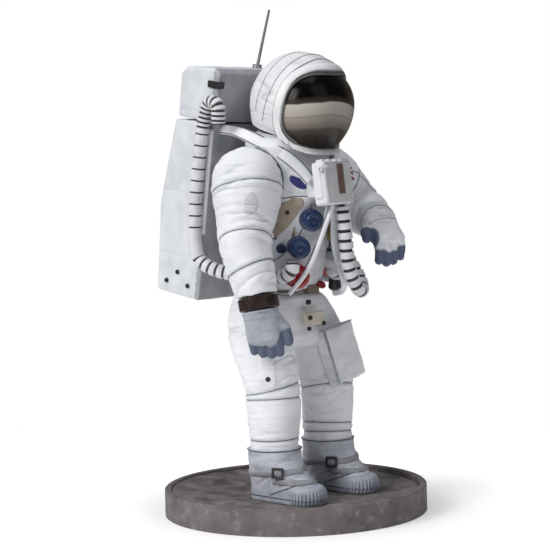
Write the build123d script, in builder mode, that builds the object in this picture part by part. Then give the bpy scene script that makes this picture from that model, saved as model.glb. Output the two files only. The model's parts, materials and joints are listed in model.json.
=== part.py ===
"""Space-suit action figure, 1:12, on a round display stand.

Millimetres, +Z up, origin at the centre of the stand's underside. The figure faces -Y, so its
right side is -X. The upper body is drawn in the SPINE frame, which leans forward at the waist.
"""
import os
from math import cos, pi, radians, sin

from build123d import *

os.makedirs("parts", exist_ok=True)

# ------------------------------------------------------------------ driving dimensions
STAND_RADIUS = 47.0
STAND_HEIGHT = 9.4
RIM_WALL = 2.4
GROUND_TOP = 6.4
GROUND_PLATE = 3.0
COVER_PLATE = 1.5

LEG_X = 14.2                 # each leg's centre, from the middle
ANKLE_Y = -3.4
TOE_Y = -18.4                # centre of the round toe
HEEL_Y = 0.6                 # centre of the round heel
BOOT_TOP = 24.4
SHIN_TOP = 31.0
KNEE_TOP = 46.0
THIGH_TOP = 62.0
LEG_PEG = 4.0                # radius of the pegs that join the leg pieces

WAIST_Y = 6.5
WAIST_Z = 80.0
LEAN = radians(9.2)
SPINE = Plane(origin=(0, WAIST_Y, WAIST_Z), x_dir=(1, 0, 0), z_dir=(0, -sin(LEAN), cos(LEAN)))

SIDE_VIEW = Plane(origin=SPINE.origin, x_dir=SPINE.y_dir, z_dir=SPINE.x_dir)

FIT = 0.05                   # radial running clearance of every pivot
BREAK = 0.3                  # space between neighbours on different bodies

POST_RADIUS = 4.0            # waist and neck posts
HEAD_Y = -1.5                # head axis in the spine frame
COLLAR_Z = 55.6
HEAD_BOTTOM = 56.0
HEAD_TOP = 85.0
HEAD_RADIUS = 17.6
SHELL_WALL = 1.6

SHOULDER = (20.3, 0.2, 38.7)  # spine frame, left side
CAP_RADIUS = 12.3
HUB_RADIUS = 6.0
HUB_PEG = 3.0
SLEEVE_FLAT = 13.0           # the sleeves' flattened inner face, from the middle
RAISE_MAX = 60
ELBOW_RADIUS = 9.3
TONGUE = 5.0                 # thickness of the elbow tongue
PIN_RADIUS = 1.2

PACK_HALF = 19.0
PACK_WALL = 1.6

UP = (Align.CENTER, Align.CENTER, Align.MIN)   # a shape that stands on its plane


def spine_point(x, y, z):
    return SPINE.from_local_coords(Vector(x, y, z))


def keep(builder, name):
    builder.part.label = name
    export_step(builder.part, f"parts/{name}.step")


SIDES = {"right": -1, "left": 1}

# ------------------------------------------------------------------ stand
with BuildPart() as rim:
    with BuildSketch():
        Circle(STAND_RADIUS)
        Circle(STAND_RADIUS - RIM_WALL, mode=Mode.SUBTRACT)
    extrude(amount=STAND_HEIGHT)
    with BuildSketch(Plane.XY.offset(COVER_PLATE)):
        Circle(STAND_RADIUS - RIM_WALL)
        Circle(STAND_RADIUS - RIM_WALL - 2, mode=Mode.SUBTRACT)
    extrude(amount=GROUND_TOP - GROUND_PLATE - COVER_PLATE)
    chamfer(rim.edges().filter_by(GeomType.CIRCLE).group_by(Axis.Z)[-1], 0.4)
keep(rim, "stand_rim")

CRATERS = [(-30, 12, 7, 0.9), (22, 22, 9, 1.1), (28, -16, 6, 0.8), (-24, -22, 5, 0.7), (-4, 30, 6, 0.8),
           (2, -36, 4.5, 0.6), (37, 3, 4, 0.5), (-38, -8, 4, 0.5)]
with BuildPart() as ground:
    with BuildSketch(Plane.XY.offset(GROUND_TOP - GROUND_PLATE)):
        Circle(STAND_RADIUS - RIM_WALL - 0.1)
    extrude(amount=GROUND_PLATE)
    for crater_x, crater_y, crater_radius, depth in CRATERS:
        ball = (crater_radius ** 2 + depth ** 2) / (2 * depth)
        with Locations((crater_x, crater_y, GROUND_TOP - depth + ball)):
            Sphere(ball, mode=Mode.SUBTRACT)
    with Locations((-LEG_X, ANKLE_Y, GROUND_TOP), (LEG_X, ANKLE_Y, GROUND_TOP)):
        Hole(1.6)
keep(ground, "moon_ground")

with BuildPart() as cover:
    with BuildSketch():
        Circle(STAND_RADIUS - RIM_WALL - 0.1)
    extrude(amount=COVER_PLATE)
keep(cover, "stand_cover")

SCREW_TOP = 14.0
with BuildPart() as boot_screws:
    for side in SIDES.values():
        with Locations((side * LEG_X, ANKLE_Y, COVER_PLATE + 0.2)):
            Cylinder(2.6, GROUND_TOP - GROUND_PLATE - COVER_PLATE - 0.2, align=UP)
            Cylinder(1.5, SCREW_TOP - COVER_PLATE - 0.2, align=UP)
keep(boot_screws, "boot_screws")

# ------------------------------------------------------------------ boots and legs
SOLE_TOP = GROUND_TOP + 2.6
TOE_CAP_TOP = GROUND_TOP + 6.4


def foot_block(x, grow, bottom, top):
    """A block with the plan of a foot: a round heel and a wider round toe, hulled."""
    with BuildPart() as block:
        with BuildSketch(Plane.XY.offset(bottom)):
            with Locations((x, HEEL_Y)):
                Circle(5.9 + grow)
            with Locations((x, TOE_Y)):
                Circle(6.6 + grow)
            make_hull()
        extrude(amount=top - bottom)
    return block.part


def leg_sections(levels, x):
    """Round leg sections: (height, y centre, radius)."""
    sections = []
    for height, y, radius in levels:
        with BuildSketch(Plane.XY.offset(height)) as section:
            with Locations((x, y)):
                Circle(radius)
        sections.append(section.sketch.face())
    return sections


boots = {}
for name, side in SIDES.items():
    foot_x = side * LEG_X
    with BuildPart() as sole:
        add(foot_block(foot_x, 0, GROUND_TOP, TOE_CAP_TOP))
        fillet(sole.edges().group_by(Axis.Z)[-1], 2.0)
        with Locations((foot_x, 0.5, SOLE_TOP)):
            Box(20, 20, 10, align=UP, mode=Mode.SUBTRACT)
        with Locations((foot_x, TOE_Y, SOLE_TOP)):
            Cylinder(4.6, 10, align=UP, mode=Mode.SUBTRACT)
        with Locations((foot_x, ANKLE_Y, GROUND_TOP)):
            Cylinder(1.55, 6, align=UP, mode=Mode.SUBTRACT)
    keep(sole, f"boot_sole_{name}")

    with BuildPart() as boot:
        with BuildSketch(Plane.YZ.offset(foot_x)):
            with BuildLine():
                Polyline((6.2, SOLE_TOP), (6.2, BOOT_TOP), (-12.6, BOOT_TOP), (-13.4, 20.5), (-17.5, 15.0),
                         (-22.6, 12.6), (-22.6, SOLE_TOP), close=True)
            make_face()
        extrude(amount=9, both=True)
        fillet(boot.edges().filter_by(Axis.X).group_by(Axis.Y)[1], 2.0)
        add(foot_block(foot_x, -0.4, SOLE_TOP, BOOT_TOP), mode=Mode.INTERSECT)
        with BuildSketch(Plane.XY.offset(11)):
            with Locations((foot_x, ANKLE_Y + 0.2)):
                Ellipse(5.6, 8.6)
        with BuildSketch(Plane.XY.offset(18)):
            with Locations((foot_x, ANKLE_Y)):
                Ellipse(8.2, 9.0)
        with BuildSketch(Plane.XY.offset(BOOT_TOP)):
            with Locations((foot_x, ANKLE_Y)):
                Circle(9.4)
        loft()
        add(sole.part, mode=Mode.SUBTRACT)
        with Locations((foot_x, ANKLE_Y, SOLE_TOP)):
            Cylinder(1.55, SCREW_TOP - SOLE_TOP + 0.5, align=UP, mode=Mode.SUBTRACT)
        with Locations((foot_x, ANKLE_Y, 17)):
            Cylinder(LEG_PEG + FIT, 20, align=UP, mode=Mode.SUBTRACT)
    keep(boot, f"boot_upper_{name}")
    boots[name] = boot.part

    with BuildPart() as shin:
        loft(leg_sections([(BOOT_TOP, ANKLE_Y, 8.8), (SHIN_TOP, ANKLE_Y, 8.9)], foot_x))
        with Locations((foot_x, ANKLE_Y, 17.2)):
            Cylinder(LEG_PEG, BOOT_TOP - 17.2, align=UP)
        with Locations((foot_x, ANKLE_Y, 25)):
            Cylinder(2.5, 10, align=UP, mode=Mode.SUBTRACT)
    keep(shin, f"shin_{name}")

    with BuildPart() as knee:
        loft(leg_sections([(SHIN_TOP, ANKLE_Y, 8.9), (36, -3.8, 9.2), (KNEE_TOP, -3.2, 9.7)], foot_x))
        with Locations((foot_x, ANKLE_Y, 25.2)):
            Cylinder(2.45, SHIN_TOP - 25.2, align=UP)
        with Locations((foot_x, -2.4, KNEE_TOP)):
            Cylinder(LEG_PEG, 8, align=UP)
    keep(knee, f"knee_{name}")

    with BuildPart() as thigh:
        loft(leg_sections([(KNEE_TOP, -3.2, 9.7), (54, -1.0, 10.7), (THIGH_TOP, 1.8, 11.2)], foot_x))
        with Locations((foot_x, -2.4, KNEE_TOP)):
            Cylinder(LEG_PEG + FIT, 8.2, align=UP, mode=Mode.SUBTRACT)
        with Locations((foot_x * 0.93, 2.6, THIGH_TOP)):
            Cylinder(LEG_PEG, 7, align=UP)
    keep(thigh, f"thigh_{name}")

STRAP_WIDTH = 2.6
with BuildPart() as boot_straps:
    for side in SIDES.values():
        foot_x = side * LEG_X
        with BuildSketch(Plane.XY.offset(16)):
            with Locations((foot_x, ANKLE_Y)):
                Circle(9.9)
                Circle(7.4, mode=Mode.SUBTRACT)
            with Locations((foot_x, ANKLE_Y + 10)):
                Rectangle(30, 24, mode=Mode.SUBTRACT)
        extrude(amount=STRAP_WIDTH)
        with Locations((foot_x - 7.6, ANKLE_Y - 6.9, 16 + STRAP_WIDTH / 2)):
            Box(1.6, 3.4, 3.4, rotation=(0, 0, 42))
    for boot_part in boots.values():
        add(boot_part, mode=Mode.SUBTRACT)
keep(boot_straps, "boot_straps")

# ------------------------------------------------------------------ pelvis and waist post
with BuildPart() as pelvis:
    with BuildSketch(Plane.XY.offset(THIGH_TOP)):
        with Locations((0, 1.8)):
            RectangleRounded(2 * (LEG_X + 11.2), 22.4, 11.1)
    with BuildSketch(Plane.XY.offset(70)):
        with Locations((0, 4.4)):
            RectangleRounded(45, 24, 11)
    with BuildSketch(SPINE.offset(-BREAK / 2)):
        RectangleRounded(29, 24.5, 10)
    loft()
    for side in SIDES.values():
        with Locations((side * LEG_X * 0.93, 2.6, THIGH_TOP)):
            Cylinder(LEG_PEG + FIT, 7.2, align=UP, mode=Mode.SUBTRACT)
    with Locations(SPINE.offset(-8)):
        Cylinder(POST_RADIUS - 1, 10, align=UP, mode=Mode.SUBTRACT)
    with Locations((0, -4, THIGH_TOP)):
        Cylinder(3.2, 40, rotation=(90, 0, 0), mode=Mode.SUBTRACT)
keep(pelvis, "pelvis")

# The thighs lean forward to the knee, and the pocket and patch lie on them.
THIGH_LEAN = 12.5
POCKET_ROLL = 9              # its outer side is the higher one
POCKET = Plane(origin=(LEG_X - 0.6, -10.9, 56.0), x_dir=(1, 0, 0),
               z_dir=(0, -cos(radians(THIGH_LEAN)), sin(radians(THIGH_LEAN)))).rotated((0, 0, POCKET_ROLL))
with BuildPart() as pocket:
    with BuildSketch(POCKET):
        RectangleRounded(16.5, 20.5, 1.4)
    extrude(amount=3.0)
    fillet(pocket.faces().sort_by(SortBy.AREA)[-2:].edges().sort_by(Axis.Y)[:8], 0.6)
    with BuildSketch(POCKET.offset(-2.6)):
        Rectangle(9, 12)
    extrude(amount=2.6)
    add(knee.part, mode=Mode.SUBTRACT)
    add(thigh.part, mode=Mode.SUBTRACT)
    add(pelvis.part, mode=Mode.SUBTRACT)
keep(pocket, "thigh_pocket_left")

PANEL = Plane(origin=(0, -9.6, 69.6), x_dir=(1, 0, 0), z_dir=(0, -1, 0.12))
with BuildPart() as hip_panel:
    with BuildSketch(PANEL):
        RectangleRounded(11, 5.6, 0.8)
    extrude(amount=1.4)
    add(pelvis.part, mode=Mode.SUBTRACT)
keep(hip_panel, "hip_panel")

WAIST_POST = 14.0
with BuildPart() as waist_post:
    with Locations(SPINE.offset(-7.9)):
        Cylinder(POST_RADIUS - 1.05, 7.9, align=UP)
    with Locations(SPINE.offset(-BREAK / 2)):
        Cylinder(POST_RADIUS, WAIST_POST, align=UP)
    with Locations(SPINE.offset(WAIST_POST - 3)):
        Cylinder(POST_RADIUS + 1.5, 2.6, align=UP)
keep(waist_post, "waist_post")

# ------------------------------------------------------------------ torso halves
# (height, half width, half depth, y centre, corner radius) in the spine frame
TORSO = [(BREAK / 2, 10.9, 12.0, -1.0, 8.5), (9, 10.8, 14.2, -1.6, 9), (20, 11.7, 16.2, -1.6, 9.5),
         (34, 11.8, 16.2, -1.0, 9.5), (44, 12.0, 14.0, 0.0, 9), (51.5, 17.0, 11.5, 0.5, 9),
         (COLLAR_Z - 0.4, 13.6, 10.5, -0.5, 9)]


def torso_block():
    with BuildPart() as block:
        for height, half_width, half_depth, y, corner in TORSO:
            with BuildSketch(SPINE.offset(height)):
                with Locations((0, y)):
                    RectangleRounded(2 * half_width, 2 * half_depth, corner)
        loft()
        for side in SIDES.values():
            x, y, z = SHOULDER
            with Locations(SPINE * Location((side * x, y, z))):
                Sphere(CAP_RADIUS + BREAK, mode=Mode.SUBTRACT)
                Cylinder(HUB_PEG + FIT, 2 * (x - 4.8), rotation=(0, 90, 0), mode=Mode.SUBTRACT)
        with Locations(SPINE * Location((0, 0, 0))):
            Cylinder(POST_RADIUS + FIT, WAIST_POST + 0.3, align=UP, mode=Mode.SUBTRACT)
        with Locations(SPINE * Location((0, 0, WAIST_POST - 3.1))):
            Cylinder(POST_RADIUS + 1.5 + FIT, 3.2, align=UP, mode=Mode.SUBTRACT)
        with Locations(SPINE * Location((0, HEAD_Y, COLLAR_Z - 11))):
            Cylinder(POST_RADIUS + FIT, 12, align=UP, mode=Mode.SUBTRACT)
        with Locations(SPINE * Location((0, HEAD_Y, COLLAR_Z - 11))):
            Cylinder(POST_RADIUS + 1.2 + FIT, 3.2, align=UP, mode=Mode.SUBTRACT)
    return block.part


TORSO_BLOCK = torso_block()
SPLIT = Plane(origin=spine_point(0, 0.2, 0), x_dir=(1, 0, 0), z_dir=SPINE.y_dir)
for name, half in {"front": Keep.BOTTOM, "back": Keep.TOP}.items():
    with BuildPart() as torso_half:
        add(TORSO_BLOCK)
        split(bisect_by=SPLIT, keep=half)
    keep(torso_half, f"torso_{name}")

with BuildPart() as collar:
    with BuildSketch(SPINE.offset(COLLAR_Z - 0.4)):
        with Locations((0, HEAD_Y)):
            Circle(13.2)
            Circle(POST_RADIUS + 0.4, mode=Mode.SUBTRACT)
    extrude(amount=0.5)
keep(collar, "neck_ring")

# ------------------------------------------------------------------ chest fittings
# (x, height, front face, turn to the side, radius, depth) in the spine frame
CONNECTORS = {
    "blue": [(-6.8, 27.2, -17.6, 0, 4.1, 3.0), (-12.0, 18.0, -14.6, 40, 4.1, 3.0),
             (12.0, 18.0, -14.6, -40, 4.1, 3.0)],
    "red": [(-7.6, 8.6, -14.6, 18, 3.9, 3.0), (3.8, 10.6, -15.6, 0, 4.1, 3.0),
            (-2.3, 5.4, -14.4, 0, 2.0, 2.2)],
}
for colour, fittings in CONNECTORS.items():
    with BuildPart() as connectors:
        for x, height, front, turn, radius, depth in fittings:
            seat = SPINE * Location((x, front, height), (90, -turn, 0)) * Location((0, 0, -3))
            with Locations(seat):
                Cylinder(radius, depth + 3, align=UP)
                Cylinder(radius * 0.72, depth + 3.9, align=UP)
        add(TORSO_BLOCK, mode=Mode.SUBTRACT)
    keep(connectors, f"connectors_{colour}")

BELT_WIDTH = 2.4
with BuildPart() as belt:
    with BuildSketch(SPINE.offset(0.7)):
        with Locations((0, -1.1)):
            RectangleRounded(23.2, 25.8, 9.1)
            RectangleRounded(20.2, 22.6, 7.5, mode=Mode.SUBTRACT)
    extrude(amount=BELT_WIDTH)
    with Locations(SPINE * Location((2.6, -14.2, 2.2))):
        Box(6.0, 1.8, 3.4)
    add(TORSO_BLOCK, mode=Mode.SUBTRACT)
keep(belt, "waist_belt")

UNIT = SPINE * Location((-1.6, -22.6, 41.4), (-16, 0, 0))
with BuildPart() as control_unit:
    with Locations(UNIT):
        Box(13.8, 6.6, 15)
    fillet(control_unit.edges(), 0.8)
    with Locations(SPINE * Location((-1.6, -17.5, 41.0))):
        Box(9, 8, 8)
    add(TORSO_BLOCK, mode=Mode.SUBTRACT)
keep(control_unit, "control_unit")

with BuildPart() as control_label:
    with Locations(UNIT * Location((0.2, -3.45, 1.4))):
        Box(3.4, 0.3, 10.6)
    add(control_unit.part, mode=Mode.SUBTRACT)
keep(control_label, "control_label")

with BuildPart() as chest_straps:
    with BuildSketch(SIDE_VIEW):
        with BuildLine():
            Polyline((-21.2, 34.4), (-21.2, 8.0), (-15.4, 2.0), (-16.2, 1.2), (-22.0, 7.6), (-22.0, 34.4),
                     close=True)
        make_face()
    extrude(amount=12, both=True)
    with BuildSketch(Plane(SPINE * Location((0, -10, 0), (90, 0, 0)))):
        with BuildLine():
            Polyline((-1.6, 36), (1.0, 36), (-0.4, 0), (-6.4, 0), close=True)
        make_face()
        with BuildLine():
            Polyline((1.8, 36), (4.6, 36), (10.4, 0), (4.8, 0), close=True)
        make_face()
    extrude(amount=14, mode=Mode.INTERSECT)
    add(control_unit.part, mode=Mode.SUBTRACT)
    add(belt.part, mode=Mode.SUBTRACT)
keep(chest_straps, "chest_straps")


def tube(points, radius, bends):
    """A round tube along straight runs joined by tangent arcs, drawn in the spine frame."""
    route = [spine_point(*point) for point in points]
    with BuildPart() as pipe:
        with BuildLine() as path:
            FilletPolyline(*route, radius=bends)
        with BuildSketch(Plane(origin=path.line @ 0, z_dir=path.line % 0)):
            Circle(radius)
        sweep(path=path.line)
    return pipe.part


HOSE_RADIUS = 2.6
HOSE_X = 22.2              # down the backpack's corner
WAIST_GAP_X = 15.0         # between the torso and the arm
HOSES = {
    "hose_right": [(-21.8, 15.2, 57.6), (-HOSE_X, 15.6, 65.0), (-HOSE_X, 23.0, 64.0), (-HOSE_X, 23.0, 10.0),
                   (-20.6, 14.0, 5.2), (-WAIST_GAP_X, 4.0, 4.8), (-WAIST_GAP_X, -12.0, 6.4),
                   (-14.9, -19.8, 10.0), (-14.5, -18.9, 13.6)],
    "hose_left": [(21.8, 15.2, 57.6), (HOSE_X, 15.6, 65.0), (HOSE_X, 23.0, 64.0), (HOSE_X, 23.0, 10.0),
                  (20.6, 14.0, 5.2), (WAIST_GAP_X, 4.0, 4.8), (WAIST_GAP_X, -12.0, 5.4),
                  (11.4, -17.8, 7.6), (8.0, -18.0, 9.6)],
    "hose_front": [(2.4, -24.9, 33.4), (3.4, -27.0, 22.0), (4.8, -28.4, 11.0), (11.0, -30.2, 2.6),
                   (15.4, -26.6, 5.6), (14.6, -19.9, 13.2)],
}
HOSE_BENDS = {"hose_right": [3.0, 3.2, 8.0, 6.0, 8.0, 6.0, 2.6], "hose_left": [3.0, 3.2, 8.0, 6.0, 8.0, 6.0, 2.6],
              "hose_front": [20.0, 14.0, 5.0, 4.0]}
for name, points in HOSES.items():
    with BuildPart() as hose:
        add(tube(points, HOSE_RADIUS, HOSE_BENDS[name]))
    print(name, round(hose.part.volume / (pi * HOSE_RADIUS ** 2), 1), "mm long")
    keep(hose, name)

TETHER = [(-4.6, -24.8, 33.6), (-7.6, -24.8, 22.0), (-11.4, -23.6, 11.0), (-12.6, -15.0, 3.0)]
with BuildPart() as tether:
    add(tube(TETHER, 0.8, [30.0, 6.0]))
keep(tether, "tether")

# ------------------------------------------------------------------ backpack
PACK = [(20.4, -7.6), (20.2, 56.6), (39.6, 56.2), (44.2, 25.4), (42.1, -7.3)]
UPPER = [(19.6, 57.0), (19.2, 74.4), (21.6, 76.3), (35.9, 75.5), (38.7, 72.6), (38.4, 57.0)]
PACK_JOINT = 22.4
UPPER_JOINT = 22.0


def pack_block(profile, grow, half_width):
    """A box with the given side profile, shrunk all round by -grow."""
    with BuildPart() as block:
        with BuildSketch(SIDE_VIEW):
            with BuildLine():
                Polyline(*profile, close=True)
            make_face()
            if grow:
                offset(amount=grow, kind=Kind.INTERSECTION)
        extrude(amount=half_width + grow, both=True)
        if not grow:
            fillet(block.edges(), 1.0)
    return block.part


for name, profile, joint in [("backpack", PACK, PACK_JOINT), ("upper_pack", UPPER, UPPER_JOINT)]:
    block = pack_block(profile, 0, PACK_HALF)
    seam = Plane(origin=spine_point(0, joint, 0), x_dir=(1, 0, 0), z_dir=SPINE.y_dir)
    with BuildPart() as rear:
        add(block)
        split(bisect_by=seam, keep=Keep.TOP)
        add(pack_block([(max(y, joint - 5), z) for y, z in profile], -PACK_WALL, PACK_HALF), mode=Mode.SUBTRACT)
    keep(rear, f"{name}_shell")
    with BuildPart() as front:
        add(block)
        split(bisect_by=seam, keep=Keep.BOTTOM)
    keep(front, f"{name}_front")

with BuildPart() as pack_mount:
    with Locations(SPINE * Location((0, 16.5, 28))):
        Box(18, 7.6, 34)
    with Locations(SPINE * Location((0, 25.2, 28))):
        Box(30, 10, 60, mode=Mode.SUBTRACT)
    add(TORSO_BLOCK, mode=Mode.SUBTRACT)
keep(pack_mount, "backpack_mount")

with BuildPart() as spacers:
    for x in (-12, 12):
        with Locations(SPINE * Location((x, 30, 56.8))):
            Box(5, 8, 0.4)
keep(spacers, "pack_spacers")

SIDE_SNAPS = [(37.2, -3.0), (31.9, 1.0), (26.2, -3.1)]
BACK_SNAPS = [(43.1, 8.0), (42.5, 37.0), (38.6, 66.0)]
with BuildPart() as snaps:
    for side in SIDES.values():
        for y, z in SIDE_SNAPS:
            with Locations(SPINE * Location((side * (PACK_HALF + 0.3), y, z), (0, 90, 0))):
                Cylinder(0.8, 0.6)
        for y, z in BACK_SNAPS:
            with Locations(SPINE * Location((side * 16.5, y, z), (90, 0, 0))):
                Cylinder(0.9, 1.4)
    add(pack_block(PACK, 0, PACK_HALF), mode=Mode.SUBTRACT)
    add(pack_block(UPPER, 0, PACK_HALF), mode=Mode.SUBTRACT)
keep(snaps, "pack_snaps")

with BuildPart() as latches:
    for side in SIDES.values():
        with Locations(SPINE * Location((side * 18.6, 21.0, 70.4))):
            Box(2.4, 6.0, 2.4)
    add(pack_block(UPPER, 0, PACK_HALF), mode=Mode.SUBTRACT)
keep(latches, "pack_latches")

ANTENNA_X = 8.0
with BuildPart() as antenna_socket:
    with Locations(SPINE * Location((ANTENNA_X, 27, 75.8))):
        Cylinder(1.7, 3.0)
    with Locations(SPINE * Location((ANTENNA_X, 27, 76.2), (9.2, 0, 0))):
        Cylinder(0.62, 6, mode=Mode.SUBTRACT)
    add(pack_block(UPPER, 0, PACK_HALF), mode=Mode.SUBTRACT)
keep(antenna_socket, "antenna_socket")

with BuildPart() as antenna:
    with Locations(SPINE * Location((ANTENNA_X, 27, 76.2), (9.2, 0, 0))):
        Cone(0.6, 0.4, 21.5, align=UP)
keep(antenna, "antenna")

# ------------------------------------------------------------------ helmet
HEAD = SPINE * Location((0, HEAD_Y, 0))


def head_body(shrink):
    """Solid of the helmet's outer shape, smaller by shrink all round."""
    with BuildPart() as body:
        with BuildSketch(Plane(HEAD * Location((0, 0, 0), (90, 0, 0)))):
            with BuildLine():
                top = HEAD_TOP - shrink
                Line((0, HEAD_BOTTOM - 3), (14.6 - shrink, HEAD_BOTTOM - 3))
                Spline((14.6 - shrink, HEAD_BOTTOM - 3), (17.0 - shrink, 61), (HEAD_RADIUS - shrink, 67.5),
                       (15.4 - shrink * 0.9, 76.4 - shrink * 0.4), (9.0 - shrink * 0.6, 82.9 - shrink * 0.8),
                       (0, top), tangents=[(0.3, 1), (-1, 0)])
                Line((0, top), (0, HEAD_BOTTOM - 3))
            make_face()
        revolve(axis=Axis(HEAD.position, SPINE.z_dir))
    return body.part


def visor_opening(grow):
    """Block that cuts the visor's opening out of the helmet's front."""
    with BuildPart() as block:
        with BuildSketch(Plane(HEAD * Location((0, -5.5, 66.0), (90, 0, 0)))):
            RectangleRounded(2 * (15.4 + grow), 2 * (13.2 + grow), 9.5)
        extrude(amount=20)
    return block.part


def shell_between(outer, inner):
    with BuildPart() as shell:
        add(head_body(outer))
        add(head_body(inner), mode=Mode.SUBTRACT)
        with Locations(HEAD * Location((0, 0, HEAD_BOTTOM))):
            Box(60, 60, 20, align=(Align.CENTER, Align.CENTER, Align.MAX), mode=Mode.SUBTRACT)
    return shell.part


with BuildPart() as hood:
    add(shell_between(0, SHELL_WALL))
    add(visor_opening(1.4), mode=Mode.SUBTRACT)
keep(hood, "helmet_hood")
with BuildPart() as visor_frame:
    add(shell_between(0.4, SHELL_WALL + 0.8))
    add(visor_opening(1.38), mode=Mode.INTERSECT)
    add(visor_opening(0), mode=Mode.SUBTRACT)
keep(visor_frame, "visor_frame")
with BuildPart() as visor:
    add(shell_between(0.9, 2.1))
    add(visor_opening(-0.02), mode=Mode.INTERSECT)
keep(visor, "visor")

with BuildPart() as neck_plug:
    with Locations(HEAD * Location((0, 0, HEAD_BOTTOM + 0.2))):
        Cylinder(12.4, 2.0, align=UP)
    with Locations(HEAD * Location((0, 0, COLLAR_Z - 10.6))):
        Cylinder(POST_RADIUS, HEAD_BOTTOM + 0.2 - COLLAR_Z + 10.6, align=UP)
        Cylinder(POST_RADIUS + 1.2, 2.4, align=UP)
keep(neck_plug, "neck_plug")

# ------------------------------------------------------------------ arms
# elbow and wrist in the stand's frame, and the elbow's travel from rest (positive bends it)
ARMS = {
    "right": {"elbow": Vector(-26.4, -5.0, 97.0), "wrist": Vector(-26.6, -9.9, 74.8), "bend": (0, 60),
              "hinge": Vector(-1, 0, 0), "palm": 10.5, "fingers": 7.0},
    "left": {"elbow": Vector(37.5, -1.8, 106.5), "wrist": Vector(27.5, -18.4, 102.1), "bend": (-45, 6),
             "hinge": None, "palm": 10.0, "fingers": 9.0},
}
UPPER_SLEEVE = [(0.0, 12.2), (0.22, 12.1), (0.48, 11.0), (0.73, 10.1), (1.0, 9.6)]
LOWER_SLEEVE = [(0.0, 9.3), (0.3, 9.0), (0.55, 8.4), (0.8, 7.6), (1.0, 7.2)]
RING_HEIGHT = 4.4
RING_RADIUS = 7.0
STUB_RADIUS = 5.0
WRIST_PEG = 2.5
GLOVES = {  # directions of the palm, the fingers, the thumb side, and the thumb's ends from the wrist
    "right": {"palm": Vector(0, -0.2, -0.98), "fingers": Vector(0.42, 0.24, -0.87),
              "side": Vector(0.682, -0.731, 0), "thumb": [(5.6, 3.0), (8.0, 10.5)]},
    "left": {"palm": Vector(-0.3, -0.74, -0.6), "fingers": Vector(0.02, 0.1, -0.99),
             "side": Vector(-0.93, 0.37, 0), "thumb": [(5.0, 2.0), (8.2, 8.0)]},
}


def round_loft(start, end, levels):
    """Loft of circles between two points: (fraction of the way, radius)."""
    direction = end - start
    sections = []
    for fraction, radius in levels:
        with BuildSketch(Plane(origin=start + direction * fraction, z_dir=direction)) as section:
            Circle(radius)
        sections.append(section.sketch.face())
    return Solid.make_loft([face.outer_wire() for face in sections])


def rod(start, direction, radius, length):
    """A round bar that begins at a point."""
    return Solid.make_cylinder(radius, length, Plane(origin=start, z_dir=direction))


def cross_pin(centre, axis, radius, length):
    return rod(centre - axis.normalized() * (length / 2), axis, radius, length)


def ball(centre, radius):
    return Solid.make_sphere(radius, Plane(origin=centre))


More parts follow.
